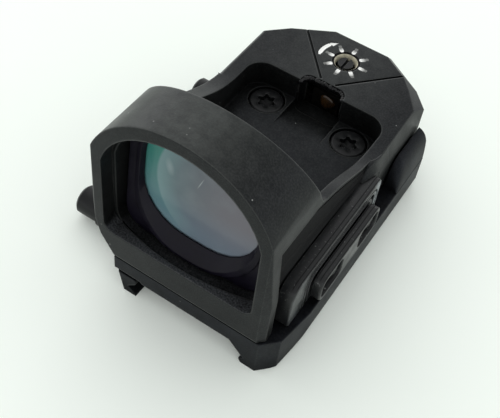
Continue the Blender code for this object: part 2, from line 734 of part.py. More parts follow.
def build_battery():
    floor = cell_floor()
    radius = CELL_DIAMETER / 2
    rim = 0.35
    top = CELL_THICKNESS
    can = [(radius - rim, 0), (radius, rim), (radius, top - rim), (radius - rim, top)]
    part("battery", turned(can, "Z", (0, CELL_Y), floor), "cell_steel")
    half = CONTACT_WIDTH / 2
    plus = rounded_box(-half, CELL_Y - CONTACT_LENGTH / 2, half, CELL_Y + CONTACT_LENGTH / 2, half * 0.9)
    seat = floor + CELL_THICKNESS + FIT
    part("battery_contact_positive", prism(plus, seat, seat + CONTACT_THICKNESS, "Z"), "spring_bronze")
    bottom = floor - FIT - CONTACT_THICKNESS
    minus = prism(plus, bottom, bottom + CONTACT_THICKNESS, "Z")
    leaf = part("battery_contact_negative", minus, "spring_bronze")
    window_front = CELL_Y - CONTACT_LENGTH / 3
    window_rear = CELL_Y + CONTACT_LENGTH / 4
    window = rounded_box(-half / 2, window_front, half / 2, window_rear, half * 0.4)
    cut(leaf, prism(window, bottom - OVERCUT, bottom + OVERCUT, "Z"), "leaf_window")


def turns(count):
    return [2 * math.pi * i / count for i in range(count)]


def circle(centre, radius, sides=48):
    return [(centre[0] + radius * math.cos(a), centre[1] + radius * math.sin(a)) for a in turns(sides)]


def build_seal():
    """A flat ring between sight and mount, round the battery bay."""
    inner = CELL_DIAMETER / 2 + FIT + SEAL_LAND
    bottom = PLATE_TOP - SEAL_HEIGHT + SEAM / 2
    centre = (0, CELL_Y)
    ring = band(circle(centre, inner + SEAL_WIDTH), circle(centre, inner), bottom, bottom + SEAL_HEIGHT)
    part("battery_seal", ring, "nitrile_rubber")


# Lens and bezel, built upright and then leaned back about the sill
def lens_outline(side, foot, crown_gap, corner):
    """An outline across the leaning lens: X across and height from the sill."""
    lean = math.cos(LENS_TILT)
    spring = (WINDOW_SHOULDER - BORE_STEP - SILL_HEIGHT) / lean - crown_gap
    crown = (WINDOW_CROWN - BORE_STEP - SILL_HEIGHT) / lean - crown_gap
    return rounded_arch(HALF_BORE - side, foot, corner, spring, crown)


def lean_back(bm):
    """Turns a bmesh about the sill and sets it back behind the front face."""
    turn = Matrix.Translation((0, LENS_SETBACK, SILL_HEIGHT)) @ Matrix.Rotation(-LENS_TILT, 4, "X")
    bmesh.ops.transform(bm, matrix=turn, verts=bm.verts)
    return bm


def lens_depth():
    return BEZEL_DEPTH + FIT + LENS_SAG / 2 + LENS_THICKNESS


def build_lens():
    seat = lens_outline(FIT, FIT - BORE_DROP, FIT, BORE_CORNER)
    rim = lens_outline(BEZEL_GAP, BEZEL_GAP / 2 - BORE_DROP, 2 * FIT, BEZEL_CORNER + BEZEL_LIP)
    lip = BEZEL_GAP + BEZEL_LIP
    mouth = lens_outline(lip, BEZEL_GAP / 2 + BEZEL_LIP - BORE_DROP, 2 * FIT + BEZEL_LIP, BEZEL_CORNER)
    throat = lens_outline(BEZEL_SIDE, BEZEL_FOOT - BORE_DROP, 2 * FIT + 2 * BEZEL_LIP, BEZEL_CORNER)
    inside_flange = BEZEL_DEPTH - BEZEL_FLANGE / 2
    bezel = part("lens_bezel", lean_back(prism(rim, 0, inside_flange, "Y")), "bezel_black")
    flange = prism(seat, BEZEL_DEPTH - BEZEL_FLANGE, BEZEL_DEPTH, "Y")
    join(bezel, lean_back(flange), "flange")
    cone = []
    for share in (-0.2, 0.0, 1.0, 1.2):
        hold = min(max(share, 0.0), 1.0)
        ring = [Vector(a).lerp(Vector(b), hold) for a, b in zip(mouth, throat)]
        cone.append([(p.x, share * BEZEL_DEPTH, p.y) for p in ring])
    cut(bezel, lean_back(rings(cone)), "cone")
    cut(bezel, lean_back(prism(bezel_front(), -CROWN_HEIGHT, CROWN_HEIGHT, "Z")), "bowed_front")
    part("objective_lens", lean_back(bowed_disc(seat, BEZEL_DEPTH + FIT)), "lens_glass")


def bezel_front():
    """The plan of what is taken off the bezel's front, which falls back towards its sides."""
    half = HALF_BORE - BEZEL_GAP + FIT
    return bow(half, 0, BEZEL_SAG) + [(half, -OVERCUT), (-half, -OVERCUT)]


def bowed_disc(outline, front):
    """A meniscus lens, hollow towards the emitter: its middle stands forward of its edge."""
    middle = Vector((0, sum(p[1] for p in outline) / len(outline)))
    reach = max((Vector(p) - middle).length for p in outline)
    shares = (0.03, 0.25, 0.5, 0.75, 1.0)
    loops = []
    for side, order in ((0.0, shares), (LENS_THICKNESS, reversed(shares))):
        for share in order:
            loop = [middle.lerp(Vector(p), share) for p in outline]
            sags = [LENS_SAG * (((p - middle).length / reach) ** 2 - 0.5) for p in loop]
            loops.append([(p.x, front + side + sag, p.y) for p, sag in zip(loop, sags)])
    return rings(loops)


# Deck screws
def build_deck_screws():
    for side, name in ((-1, "deck_screw_left"), (1, "deck_screw_right")):
        centre = (side * SCREW_SPACING / 2, SCREW_Y)
        top = DECK_HEIGHT - FIT / 2
        radius = SCREW_HEAD / 2
        edge = SCREW_HEAD_HEIGHT * 0.2
        tip = PLATE_TOP - SCREW_REACH
        profile = [(SCREW_SHANK / 2 - edge, tip), (SCREW_SHANK / 2, tip + edge)]
        profile += [(SCREW_SHANK / 2, top - SCREW_HEAD_HEIGHT), (radius, top - SCREW_HEAD_HEIGHT)]
        profile += [(radius, top - edge), (radius - edge, top)]
        screw = part(name, turned(profile, "Z", centre, 0.0, 32), "blackened_steel", (*centre, top))
        cut(screw, prism(torx(centre), top - TORX_DEPTH, top + OVERCUT, "Z"), "torx")


def torx(centre):
    """A six-lobed recess outline."""
    points = []
    for a in turns(36):
        radius = TORX_SIZE / 2 * (0.84 + 0.16 * math.cos(6 * a))
        points.append((centre[0] + radius * math.cos(a), centre[1] + radius * math.sin(a)))
    return points


# Emitter and its two adjusters
def carriage_floor():
    return HOUSING_FLOOR + FIT + BOARD_THICKNESS + RUNNING_FIT


def emitter_floor():
    return carriage_floor() + CARRIAGE_FLOOR + EMITTER_TRAVEL + RUNNING_FIT


def build_emitter():
    half = CAVITY_WIDTH / 2 - FIT
    rear = CAVITY_FRONT + CAVITY_LENGTH - FIT
    board_floor = HOUSING_FLOOR + FIT
    board = box(-half, half, CAVITY_FRONT + FIT, rear, board_floor, board_floor + BOARD_THICKNESS)
    part("circuit_board", board, "board_green")
    front = CAVITY_FRONT + LED_THICKNESS + 2 * RUNNING_FIT
    floor = carriage_floor()
    wide = CARRIAGE_WIDTH / 2
    top = floor + CARRIAGE_FLOOR
    origin = (0, front + CARRIAGE_LENGTH / 2, floor)
    plate = box(-wide, wide, front, front + CARRIAGE_LENGTH, floor, top)
    carriage = part("windage_carriage", plate, "brass", origin)
    inner = EMITTER_WIDTH / 2 + RUNNING_FIT
    for sign, label in ((-1, "left"), (1, "right")):
        x = sorted((sign * inner, sign * (inner + CARRIAGE_RAIL)))
        rail_y = (front + FIT, front + EMITTER_LENGTH)
        rail = box(*x, *rail_y, top - CARRIAGE_FLOOR / 2, top + CARRIAGE_RAIL_HEIGHT)
        join(carriage, rail, f"{label}_rail")
    foot = emitter_floor()
    half = EMITTER_WIDTH / 2
    block = box(-half, half, front, front + EMITTER_LENGTH, foot, foot + EMITTER_HEIGHT)
    emitter = part("emitter_block", block, "brass", (0, front, foot))
    arm_top = foot + EMITTER_HEIGHT - EMITTER_ARM / 2
    reach = (front + EMITTER_LENGTH / 2, DIAL_Y + DIAL_SCREW / 2)
    arm = box(-EMITTER_WIDTH / 3, EMITTER_WIDTH / 3, *reach, arm_top - EMITTER_ARM, arm_top)
    join(emitter, arm, "arm")
    led_x = (LED_OFFSET - LED_WIDTH / 2, LED_OFFSET + LED_WIDTH / 2)
    led_top = foot + EMITTER_HEIGHT - RUNNING_FIT
    led = box(*led_x, front - FIT - LED_THICKNESS, front - FIT, led_top - LED_HEIGHT, led_top)
    part("emitter_led", led, "emitter_amber")
    spring = coil((0, DIAL_Y), "Z", top + FIT, arm_top - EMITTER_ARM - EMITTER_TRAVEL - FIT)
    part("elevation_spring", spring, "spring_bronze")
    spring_y = front + CARRIAGE_LENGTH - SPRING_RADIUS - SPRING_WIRE
    spring_z = top - CARRIAGE_FLOOR + SPRING_RADIUS + SPRING_WIRE
    side = coil((spring_y, spring_z), "X", wide + EMITTER_TRAVEL + FIT, CAVITY_WIDTH / 2 - FIT)
    part("windage_spring", side, "spring_bronze")
    build_dial(arm_top)
    build_windage(inner + CARRIAGE_RAIL)


def adjuster(name, axis, centre, face, tip, finish, sign):
    """A slotted adjusting screw along an axis, its head at a face and its tip inside."""
    origin = {"Z": (*centre, face), "X": (face, *centre)}[axis]
    lo, hi = sorted((face, tip))
    screw = part(name, rod(centre, DIAL_SCREW / 2, lo, hi, axis, 24), finish, origin)
    half = DIAL_SLOT / 2
    deep = face - sign * DIAL_SCREW / 4
    span = sorted((deep, face + sign * OVERCUT))
    if axis == "Z":
        across, along = centre
        slot = box(across - half, across + half, along - DIAL_SCREW, along + DIAL_SCREW, *span)
    else:
        along, across = centre
        slot = box(*span, along - DIAL_SCREW, along + DIAL_SCREW, across - half, across + half)
    cut(screw, slot, "slot")


def seal_ring(name, axis, centre, lo, hi):
    """A round seal in the seat that rings an adjusting screw."""
    inner = DIAL_SCREW / 2 + FIT
    ring = part(name, rod(centre, inner + DIAL_SEAL_WIDTH, lo, hi, axis), "seal_beige")
    cut(ring, rod(centre, inner, lo - OVERCUT, hi + OVERCUT, axis, 24), "bore")


def build_dial(arm_top):
    face = BLOCK_TOP - DIAL_SINK
    centre = (0, DIAL_Y)
    tip = arm_top + EMITTER_TRAVEL + FIT
    adjuster("elevation_screw", "Z", centre, face, tip, "blackened_steel", 1)
    seal_ring("elevation_seal", "Z", centre, face - DIAL_SEAL_HEIGHT, face)


def build_windage(rail_face):
    centre = (WINDAGE_Y, WINDAGE_HEIGHT)
    face = -HALF_BLOCK + WINDAGE_SINK
    tip = -rail_face - EMITTER_TRAVEL - FIT
    adjuster("windage_screw", "X", centre, face, tip, "blackened_steel", -1)
    seal_ring("windage_seal", "X", centre, face, face + DIAL_SEAL_HEIGHT)


# Keypad: a bonded frame, a bar over it and two spring-backed buttons
def button_places():
    return (("up", BAR_MIDDLE - BUTTON_SPACING / 2), ("down", BAR_MIDDLE + BUTTON_SPACING / 2))


def build_keypad():
    floor = HOUSING_FLOOR
    inner = POCKET_WALL + FIT
    side = [(PAD_FRONT, floor), (PAD_REAR, floor)]
    side += arc((PAD_REAR - PAD_NOSE / 2, PAD_TOP - PAD_NOSE / 2), PAD_NOSE / 2, 0, 90, 4)
    side += arc((PAD_FRONT + PAD_NOSE, PAD_TOP - PAD_NOSE), PAD_NOSE, 90, 180, 6)
    frame = part("keypad_frame", prism(side, inner, PAD_FACE, "X"), "keypad_rubber")
    board_face = inner + FIT + SWITCH_BOARD_THICKNESS
    board_half = BAR_LENGTH / 2 - FIT
    board_z = (BAR_BOTTOM + FIT, BAR_TOP - FIT)
    board_y = (BAR_MIDDLE - board_half, BAR_MIDDLE + board_half)
    bay_y = (board_y[0] - FIT, board_y[1] + FIT)
    cut(frame, box(inner - OVERCUT, board_face + FIT, *bay_y, BAR_BOTTOM, BAR_TOP), "board_bay")
    part("switch_board", box(inner + FIT, board_face, *board_y, *board_z), "board_green")
    bar_lo = PAD_FACE + FIT
    ends = (BAR_TOP - BAR_BOTTOM) * 0.3
    bar_face = rounded_box(BAR_FRONT, BAR_BOTTOM, BAR_FRONT + BAR_LENGTH, BAR_TOP, ends)
    bar = part("keypad_bar", prism(bar_face, bar_lo, BAR_FACE, "X"), "keypad_rubber")
    for name, y in button_places():
        well = rod((y, BUTTON_Z), DOME_DIAMETER / 2 + FIT, board_face - FIT, PAD_FACE + OVERCUT, "X")
        cut(frame, well, f"well_{name}")
        window = button_outline(y, BUTTON_GAP)
        cut(bar, prism(window, bar_lo - OVERCUT, BAR_FACE + OVERCUT, "X"), f"window_{name}")
        build_button(name, y, board_face)


def button_outline(y, gap):
    half_y = BUTTON_LENGTH / 2 + gap
    half_z = BUTTON_HEIGHT / 2 + gap
    corner = BUTTON_HEIGHT * 0.35
    return rounded_box(y - half_y, BUTTON_Z - half_z, y + half_y, BUTTON_Z + half_z, corner)


def build_button(name, y, board_face):
    """A dished cap whose stem ends just clear of a snap dome on the switch board."""
    face = BAR_FACE - BUTTON_SINK
    back = PAD_FACE + FIT + BUTTON_TRAVEL
    cap = prism(button_outline(y, 0), back, face, "X")
    button = part(f"button_{name}", cap, "keypad_rubber", (face, y, BUTTON_Z))
    dome_top = board_face + FIT + DOME_HEIGHT
    stem = rod((y, BUTTON_Z), STEM_DIAMETER / 2, dome_top + BUTTON_TRAVEL + FIT / 2, back + FIT, "X", 20)
    join(button, stem, "stem")
    reach = BUTTON_LENGTH * 0.36
    bowl = (reach * reach + BUTTON_DISH * BUTTON_DISH) / (2 * BUTTON_DISH)
    lift = math.sqrt(bowl * bowl - reach * reach)
    dish = [(y + bowl * math.sin(a), face + lift - bowl * math.cos(a)) for a in fan(bowl, reach)]
    dish += [(y + reach * 1.2, face + OVERCUT), (y - reach * 1.2, face + OVERCUT)]
    hollow = prism([(v, u) for u, v in dish], BUTTON_Z - BUTTON_HEIGHT, BUTTON_Z + BUTTON_HEIGHT, "Z")
    cut(button, hollow, "dish")
    base = board_face + FIT
    radius = DOME_DIAMETER / 2
    dome = [(radius, 0), (radius, DOME_HEIGHT * 0.3), (radius * 0.4, DOME_HEIGHT)]
    part(f"switch_dome_{name}", turned(dome, "X", (y, BUTTON_Z), base, 24), "cell_steel")


def fan(radius, reach):
    """Angles of an arc of a given radius across a width of twice the reach."""
    limit = math.asin(reach * 1.2 / radius)
    return [-limit + 2 * limit * i / 10 for i in range(11)]


# Rail mount: fixed jaw on the right, moving clamp bar on the left
def rail_points():
    """The corners of the rail's upper half in the sight frame: right slope, then left slope."""
    top = RAIL_TOP_WIDTH / 2
    wide = RAIL_WIDTH / 2
    waist = RAIL_SEAT - (wide - top)
    right = ((RAIL_OFFSET + wide, waist), (RAIL_OFFSET + top, RAIL_SEAT))
    left = ((RAIL_OFFSET - top, RAIL_SEAT), (RAIL_OFFSET - wide, waist))
    return right, left


def build_mount():
    right, left = rail_points()
    jaw_floor = RAIL_SEAT - JAW_DEPTH
    under = PLATE_TOP - LEFT_PLATE_THICKNESS
    hook = right[0][1] - jaw_floor
    step = (left[0][0] + RAIL_SEAT - under, under)
    profile = [(PLATE_LEFT, under), step, left[0], right[1], right[0]]
    profile += [(right[0][0] - hook * 0.5, jaw_floor + hook * 0.5), (right[0][0] - hook * 0.2, jaw_floor)]
    profile += arc((SHELF_EDGE - JAW_ROUND, jaw_floor + JAW_ROUND), JAW_ROUND, -90, 0, 5)
    profile += [(SHELF_EDGE, PLATE_TOP), (PLATE_LEFT, PLATE_TOP)]
    mount = part("mount_base", prism(profile, 0, MOUNT_LENGTH, "Y"), "mount_black")
    join(mount, ear(), "ear")
    trim = Vector((1, -1, 0))
    cut(mount, half_space((SHELF_EDGE, CORNER_CUT, 0), trim), "front_corner")
    cut(mount, half_space((SHELF_EDGE, SHELF_LEAD, 0), (SHELF_LEAD, -SHELF_TAPER, 0)), "front_lead")
    rear_trim = Vector((1.2, 1, 0))
    cut(mount, half_space((SHELF_EDGE, MOUNT_LENGTH - REAR_CORNER_CUT, 0), rear_trim), "rear_corner")
    inner = CELL_DIAMETER / 2 + SEAL_LAND
    bottom = PLATE_TOP - SEAL_HEIGHT + SEAM / 2 - FIT
    outer = circle((0, CELL_Y), inner + SEAL_WIDTH + 2 * FIT)
    groove = band(outer, circle((0, CELL_Y), inner), bottom, PLATE_TOP + OVERCUT)
    cut(mount, groove, "seal_groove")
    bay = rod((0, CELL_Y), CELL_DIAMETER / 2 + FIT, bay_floor(), PLATE_TOP + OVERCUT, "Z", 48)
    cut(mount, bay, "battery_bay")
    for side, label in ((-1, "left"), (1, "right")):
        centre = (side * SCREW_SPACING / 2, SCREW_Y)
        hole = rod(centre, SCREW_SHANK / 2 + FIT, RAIL_SEAT - OVERCUT, PLATE_TOP + OVERCUT, "Z", 20)
        cut(mount, hole, f"{label}_screw_hole")
    half = BOLT_SHANK / 2 + 2 * FIT
    for name, y in bolt_places():
        bore = rod((y, BOLT_Z), BOLT_SHANK / 2 + FIT, right[1][0], SHELF_EDGE - BOLT_WALL, "X", 24)
        cut(mount, bore, f"{name}_bolt_hole")
        relief = (PLATE_LEFT - OVERCUT, right[1][0], y - half, y + half)
        cut(mount, box(*relief, BOLT_Z, RAIL_SEAT + BOLT_RELIEF), f"{name}_bolt_relief")


def ear():
    """A rounded ear on the shelf beside the rear block, lofted from a low nose to its full height."""
    root = PLATE_TOP - OVERCUT / 2
    inner = HALF_BLOCK + FIT
    outer = SHELF_EDGE - FIT / 5
    width = outer - inner
    sections = []
    for degrees in (12, 30, 50, 70, 90):
        rise = EAR_HEIGHT * math.sin(math.radians(degrees))
        y = EAR_FRONT + EAR_FALL * (1 - math.cos(math.radians(degrees)))
        swell = [(outer, 0), (outer - width * 0.1, rise * 0.6), (outer - width * 0.35, rise * 0.95)]
        section = [(inner, root), (outer, root)] + bezier(swell + [(inner, rise)], 8)
        sections.append([Vector((x, y, z)) for x, z in section])
    sections.append([Vector((spot.x, EAR_FRONT + EAR_LENGTH, spot.z)) for spot in sections[-1]])
    return rings(sections)


def bolt_places():
    return (("front", BOLT_MIDDLE - BOLT_SPACING / 2), ("rear", BOLT_MIDDLE + BOLT_SPACING / 2))


def build_clamp():
    right, left = rail_points()
    jaw_floor = RAIL_SEAT - JAW_DEPTH
    under = RAIL_SEAT - FIT
    top = PLATE_TOP - CLAMP_TOP_GAP
    waist = left[1][1]
    hook = waist - jaw_floor
    nose = left[0][0] - (RAIL_SEAT - under) - 1.0
    profile = [(nose, under), (CLAMP_INNER, under), (CLAMP_INNER, top), (CLAMP_FACE, top)]
    profile += [(CLAMP_FACE, waist + hook * 0.6), (left[1][0] - hook * 1.8, jaw_floor)]
    profile += [(left[1][0] + hook, jaw_floor), left[1], (nose, RAIL_SEAT - (left[0][0] - nose))]
    origin = (CLAMP_FACE, BOLT_MIDDLE, BOLT_Z)
    clamp = part("clamp_bar", prism(profile, 0, MOUNT_LENGTH, "Y"), "mount_black", origin)
    lean = Vector((PLATE_LEFT + 1.7, 0, jaw_floor)) - Vector((PLATE_LEFT, 0, PLATE_TOP))
    run = Vector((CLAMP_FACE, CLAMP_CORNER * 1.8, PLATE_TOP)) - Vector((PLATE_LEFT, 0, PLATE_TOP))
    cut(clamp, half_space((PLATE_LEFT, 0, PLATE_TOP), run.cross(lean)), "front_corner")
    rear = Vector((-1, 1, 0))
    cut(clamp, half_space((CLAMP_FACE, MOUNT_LENGTH - CLAMP_CORNER, 0), rear), "rear_corner")
    for name, y in bolt_places():
        bore = rod((y, BOLT_Z), BOLT_SHANK / 2 + FIT, CLAMP_FACE - OVERCUT, left[0][0] + OVERCUT, "X", 24)
        cut(clamp, bore, f"{name}_bolt_hole")
        build_bolt(name, y)


def build_bolt(name, y):
    """A cross bolt that passes through a rail slot, with a collar under its head."""
    centre = (y, BOLT_Z)
    collar_face = CLAMP_FACE - FIT - COLLAR_LENGTH
    barrel = rod(centre, COLLAR_DIAMETER / 2, collar_face, CLAMP_FACE - FIT, "X")
    collar = part(f"bolt_collar_{name}", barrel, "blackened_steel")
    bore = rod(centre, BOLT_SHANK / 2 + FIT, collar_face - OVERCUT, CLAMP_FACE + OVERCUT, "X", 24)
    cut(collar, bore, "bore")
    under_head = collar_face - FIT
    face = under_head - BOLT_HEAD_LENGTH
    edge = 0.4
    tip = SHELF_EDGE - BOLT_WALL - FIT
    outline = [(BOLT_HEAD / 2 - edge, face), (BOLT_HEAD / 2, face + edge), (BOLT_HEAD / 2, under_head)]
    outline += [(BOLT_SHANK / 2, under_head), (BOLT_SHANK / 2, tip - edge), (BOLT_SHANK / 2 - edge, tip)]
    blank = turned(outline, "X", centre, 0.0, 32)
    bolt = part(f"clamp_bolt_{name}", blank, "blackened_steel", (face, *centre))
    flats = circle(centre, HEX_SIZE / math.sqrt(3), 6)
    cut(bolt, prism(flats, face - OVERCUT, face + HEX_DEPTH, "X"), "hex_socket")


build_housing()
build_battery()
build_seal()
build_lens()
build_deck_screws()
build_emitter()
build_keypad()
build_mount()
build_clamp()
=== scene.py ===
"""Looks of the open reflex dot finder: finishes, small details, light and camera.

Lengths are in millimetres in the sight frame: X to the keypad side, Y from the front face to
the rear, Z up from the seam between the sight and its mount. One function takes them to metres.
"""

import json
import math

import bmesh
import bpy
from mathutils import Matrix, Vector, noise

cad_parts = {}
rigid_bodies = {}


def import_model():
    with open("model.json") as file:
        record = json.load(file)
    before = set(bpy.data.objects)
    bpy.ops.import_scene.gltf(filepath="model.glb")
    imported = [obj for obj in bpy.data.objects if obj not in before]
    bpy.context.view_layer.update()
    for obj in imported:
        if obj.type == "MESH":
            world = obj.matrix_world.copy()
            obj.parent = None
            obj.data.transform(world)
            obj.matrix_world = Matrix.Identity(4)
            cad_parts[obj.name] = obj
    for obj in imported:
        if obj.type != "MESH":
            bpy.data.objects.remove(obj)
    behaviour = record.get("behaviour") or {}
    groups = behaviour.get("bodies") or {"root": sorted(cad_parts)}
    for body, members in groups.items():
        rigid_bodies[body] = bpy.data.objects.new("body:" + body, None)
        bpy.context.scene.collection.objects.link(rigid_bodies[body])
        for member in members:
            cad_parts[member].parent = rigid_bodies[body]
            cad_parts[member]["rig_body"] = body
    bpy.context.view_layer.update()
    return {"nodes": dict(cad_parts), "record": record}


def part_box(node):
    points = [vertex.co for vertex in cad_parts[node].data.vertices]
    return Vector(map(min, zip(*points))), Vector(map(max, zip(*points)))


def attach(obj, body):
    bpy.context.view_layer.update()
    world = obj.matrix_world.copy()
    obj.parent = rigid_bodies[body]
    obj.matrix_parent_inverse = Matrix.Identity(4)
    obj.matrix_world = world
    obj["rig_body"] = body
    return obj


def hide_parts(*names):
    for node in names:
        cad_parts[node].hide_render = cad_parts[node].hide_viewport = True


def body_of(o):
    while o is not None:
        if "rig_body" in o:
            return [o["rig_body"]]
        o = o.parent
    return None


MM = 0.001

# Where the sight frame's origin lies in the part's own frame
FRAME_OFFSET = Vector((-2.0, -26.5, 3.3))

# Camera, solved from the photograph's edges, with its angles in degrees and its shift in pixels
IMAGE_WIDTH = 500
FOCAL_PIXELS = 900.0
SENSOR_WIDTH = 36.0
CAMERA_AZIMUTH = 27.03
CAMERA_ELEVATION = 50.07
CAMERA_ROLL = 7.87
CAMERA_DISTANCE = 135.89
CAMERA_TARGET = Vector((0.0, 19.0, 7.6))
CAMERA_SHIFT = (0.4, -30.0)
CAMERA_NEAR = 5.0

# The surround's level near the table and overhead, then the lamp and the floor in metres and watts
SKY_LOW = 2.15
SKY_HIGH = 0.96
SKY_TURN = 0.34
LAMP_PLACE = Vector((-0.45, 0.35, 0.45))
LAMP_AIM = Vector((0.0, 0.0, 0.01))
LAMP_SIZE = 1.0
LAMP_POWER = 1.75
FLOOR_HALF = 1.5
FLOOR_OWN_WHITE = 0.04

# The jaws' lowest face, and the gap that keeps the floor clear of it
JAW_FLOOR = -7.6
FLOOR_GAP = 0.05

# Housing features that the added details follow
BLOCK_TOP = 10.2
RECESS_END = 39.9
DIAL = Vector((0.0, 48.3))
DIAL_SEAT = 2.4
NOTCH_HALF = 3.95
NOTCH_BACK = 41.9
NOTCH_CORNER = 1.5

# Ticks and arrow round the dial, with the arrow's angles in degrees
TICK_COUNT = 8
TICK_RADIUS = 2.3
TICK_LENGTH = 1.25
TICK_WIDTH = 0.75
TICK_RUN_OUT = 0.42
RUN_OUT_LAP = 0.1
RUN_OUT_WIDTH = 0.85
RUN_OUT_LIFT = 0.012
MARK_DEPTH = 0.2
MARK_INSET = 0.03
MARK_STEPS = 8
ARROW_RADIUS = 4.7
ARROW_START = 195.0
ARROW_END = 150.0
ARROW_HEAD = 1.2
ARROW_STEPS = 12

# Corners of the rear block on the keypad side, as cut and as hand-finished to wider facets, and how near
# to the first a vertex has to lie
CORNER_REACH = 0.03
BLOCK_EASE = (
    ((14.8, 46.38, 10.2), (14.4, 44.9, 10.2)),
    ((11.65, 49.69, 10.2), (11.6, 48.7, 10.2)),
    ((15.3, 46.58, 9.7), (15.3, 46.58, 7.2)),
    ((15.3, 32.7, 9.7), (15.3, 32.7, 7.2)),
    ((14.8, 34.9, 10.2), (14.6, 34.9, 10.2)),
    ((15.3, 32.7, 10.34), (14.8, 32.7, 10.3)),
    ((15.2, 32.6, 10.35), (14.75, 32.6, 10.32)),
    ((15.11, 32.6, 10.35), (14.7, 32.6, 10.34)),
    ((15.1, 31.27, 10.55), (14.6, 31.27, 10.55)),
    ((15.1, 31.25, 10.56), (14.6, 31.25, 10.56)),
    ((15.2, 31.25, 9.0), (15.2, 31.25, 7.4)),
    ((15.2, 32.6, 9.0), (15.2, 32.6, 7.3)),
)

# Planes that round off the body's lower front corner away from the keypad, by three points each, in the
# turn that makes the plane face into the body
CORNER_CUTS = (
    ((-15.2, 1.0, 9.5), (-13.0, 0.0, 2.6), (-15.2, 9.0, 3.0)),
    ((-13.6, 0.0, 4.2), (-11.0, 0.0, 0.12), (-15.2, 6.5, 0.12)),
)

# Vertices this close are one
WELD = 0.001

# Edges stay crisp above these angles, on the copies of the solids and on the modelled pieces
SMOOTH_ANGLE = math.radians(28)
PIECE_SHARP_ANGLE = math.radians(38)

# The circle that the coat's crescent lies outside of
CRESCENT_CENTRE = Vector((3.3, 0.0, 16.9))
CRESCENT_RADIUS = 10.75

# Marks on the lens, a finger smudge and a thin pale line: middle in x and z, tilt in degrees, half sizes,
# strength. They reach through the glass.
LENS_MARKS = (((-5.6, 18.6), -14.0, (0.8, 1.7), 0.2), ((-0.5, 18.7), 20.0, (0.11, 1.4), 0.4))
MARK_REACH = 1e6

# Keypad sizes
PAD_FRONT = 4.8
PAD_REAR = 31.0
PAD_BOTTOM = 0.15
PAD_TOP = 8.8
PAD_BACK = 14.15
PAD_FACE = 16.5
PAD_CORNERS = (1.3, 2.6)
SQUARE_CORNER = 0.1
BAR_FRONT = 10.4
BAR_REAR = 28.4
BAR_BOTTOM = 0.5
BAR_TOP = 6.0
BAR_BACK = 16.75
BAR_FACE = 18.25
BAR_CORNER = 1.65
BUTTON_PLACES = (13.9, 24.9)
WINDOW_HALF = (2.95, 2.05)
WINDOW_HEIGHT = 3.25
WINDOW_CORNER = 1.12
GROOVE_SPACING = 0.604
SHADE_SHEET_BACK = 13.88
SHADE_SHEET_FACE = 14.0

# Deck screws
SHANK_RADIUS = 1.1
SCREW_SIDES = 72
LOBES = 6

# Glue round the emitter's notch, and the drop over the chip
GLUE_INSET = 0.15
GLUE_HEIGHT = 9.6
GLUE_SPACING = 0.5
GLUE_SIZE = 0.4
GLUE_LUMP = 0.22
DROP_FACE = 42.1
DROP_RADIUS = 1.35
DROP_HEIGHT = 0.5

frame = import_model()
NODES = frame["nodes"]
SLOTS = {entry["node"]: entry["material_slot"] for entry in frame["record"]["subparts"]}
ROUND_NODES = (
    "housing", "mount_base", "lens_bezel", "objective_lens", "clamp_bar", "clamp_bolt_front",
    "clamp_bolt_rear", "bolt_collar_front", "bolt_collar_rear", "elevation_screw", "windage_screw",
    "windage_seal", "button_up", "button_down",
)


def metres(point):
    """A point of the sight frame, in metres of the part's own frame."""
    return (Vector(point) + FRAME_OFFSET) * MM


def in_sight(point):
    """A point of the part's own frame, in millimetres of the sight frame."""
    return Vector(point) / MM - FRAME_OFFSET


def colour(code):
    """An sRGB hex colour as linear values with full alpha."""
    channels = []
    for i in (1, 3, 5):
        value = int(code[i : i + 2], 16) / 255
        channels.append(value / 12.92 if value <= 0.04045 else ((value + 0.055) / 1.055) ** 2.4)
    return (*channels, 1.0)


def add(tree, kind, sockets=None, **settings):
    """Adds a shader node: its settings, then a value or a link for each socket that is named."""
    node = tree.nodes.new("ShaderNode" + kind)
    for name, value in settings.items():
        setattr(node, name, value)
    for name, value in (sockets or {}).items():
        socket = next(s for s in node.inputs if s.enabled and name in (s.name, s.identifier))
        if isinstance(value, bpy.types.Node):
            value = next(s for s in value.outputs if s.enabled)
        if isinstance(value, bpy.types.NodeSocket):
            tree.links.new(value, socket)
        else:
            socket.default_value = value
    return node


def begin(name):
    """An empty material, and a pattern coordinate in millimetres of the sight frame."""
    material = bpy.data.materials.new(name)
    material.use_nodes = True
    tree = material.node_tree
    tree.nodes.clear()
    where = add(tree, "TexCoord").outputs["Object"]
    sockets = {"Vector": where, "Vector_001": (1 / MM,) * 3, "Vector_002": -FRAME_OFFSET}
    return material, tree, add(tree, "VectorMath", sockets, operation="MULTIPLY_ADD")


def rubbed_edges(tree, place, radius, most):
    """A mask that rises to its most along outside edges, in patches, as handling leaves it."""
    soft = add(tree, "Bevel", {"Radius": radius * MM}, samples=6)
    face = add(tree, "NewGeometry").outputs["Normal"]
    turn = add(tree, "VectorMath", {"Vector": soft, "Vector_001": face}, operation="DOT_PRODUCT")
    patch = add(tree, "TexNoise", {"Vector": place, "Scale": 1 / 1.7, "Detail": 4.0})
    patchy = {"From Min": 0.3, "From Max": 0.65, "To Min": 0.3, "To Max": most}
    amount = add(tree, "MapRange", {"Value": patch, **patchy})
    corner = add(tree, "AmbientOcclusion", {"Distance": 2 * radius * MM}, samples=6).outputs["AO"]
    open_side = add(tree, "MapRange", {"Value": corner, "From Min": 0.7, "From Max": 0.95, "To Max": amount})
    return add(tree, "MapRange", {"Value": turn, "From Min": 0.985, "From Max": 0.82, "To Max": open_side})


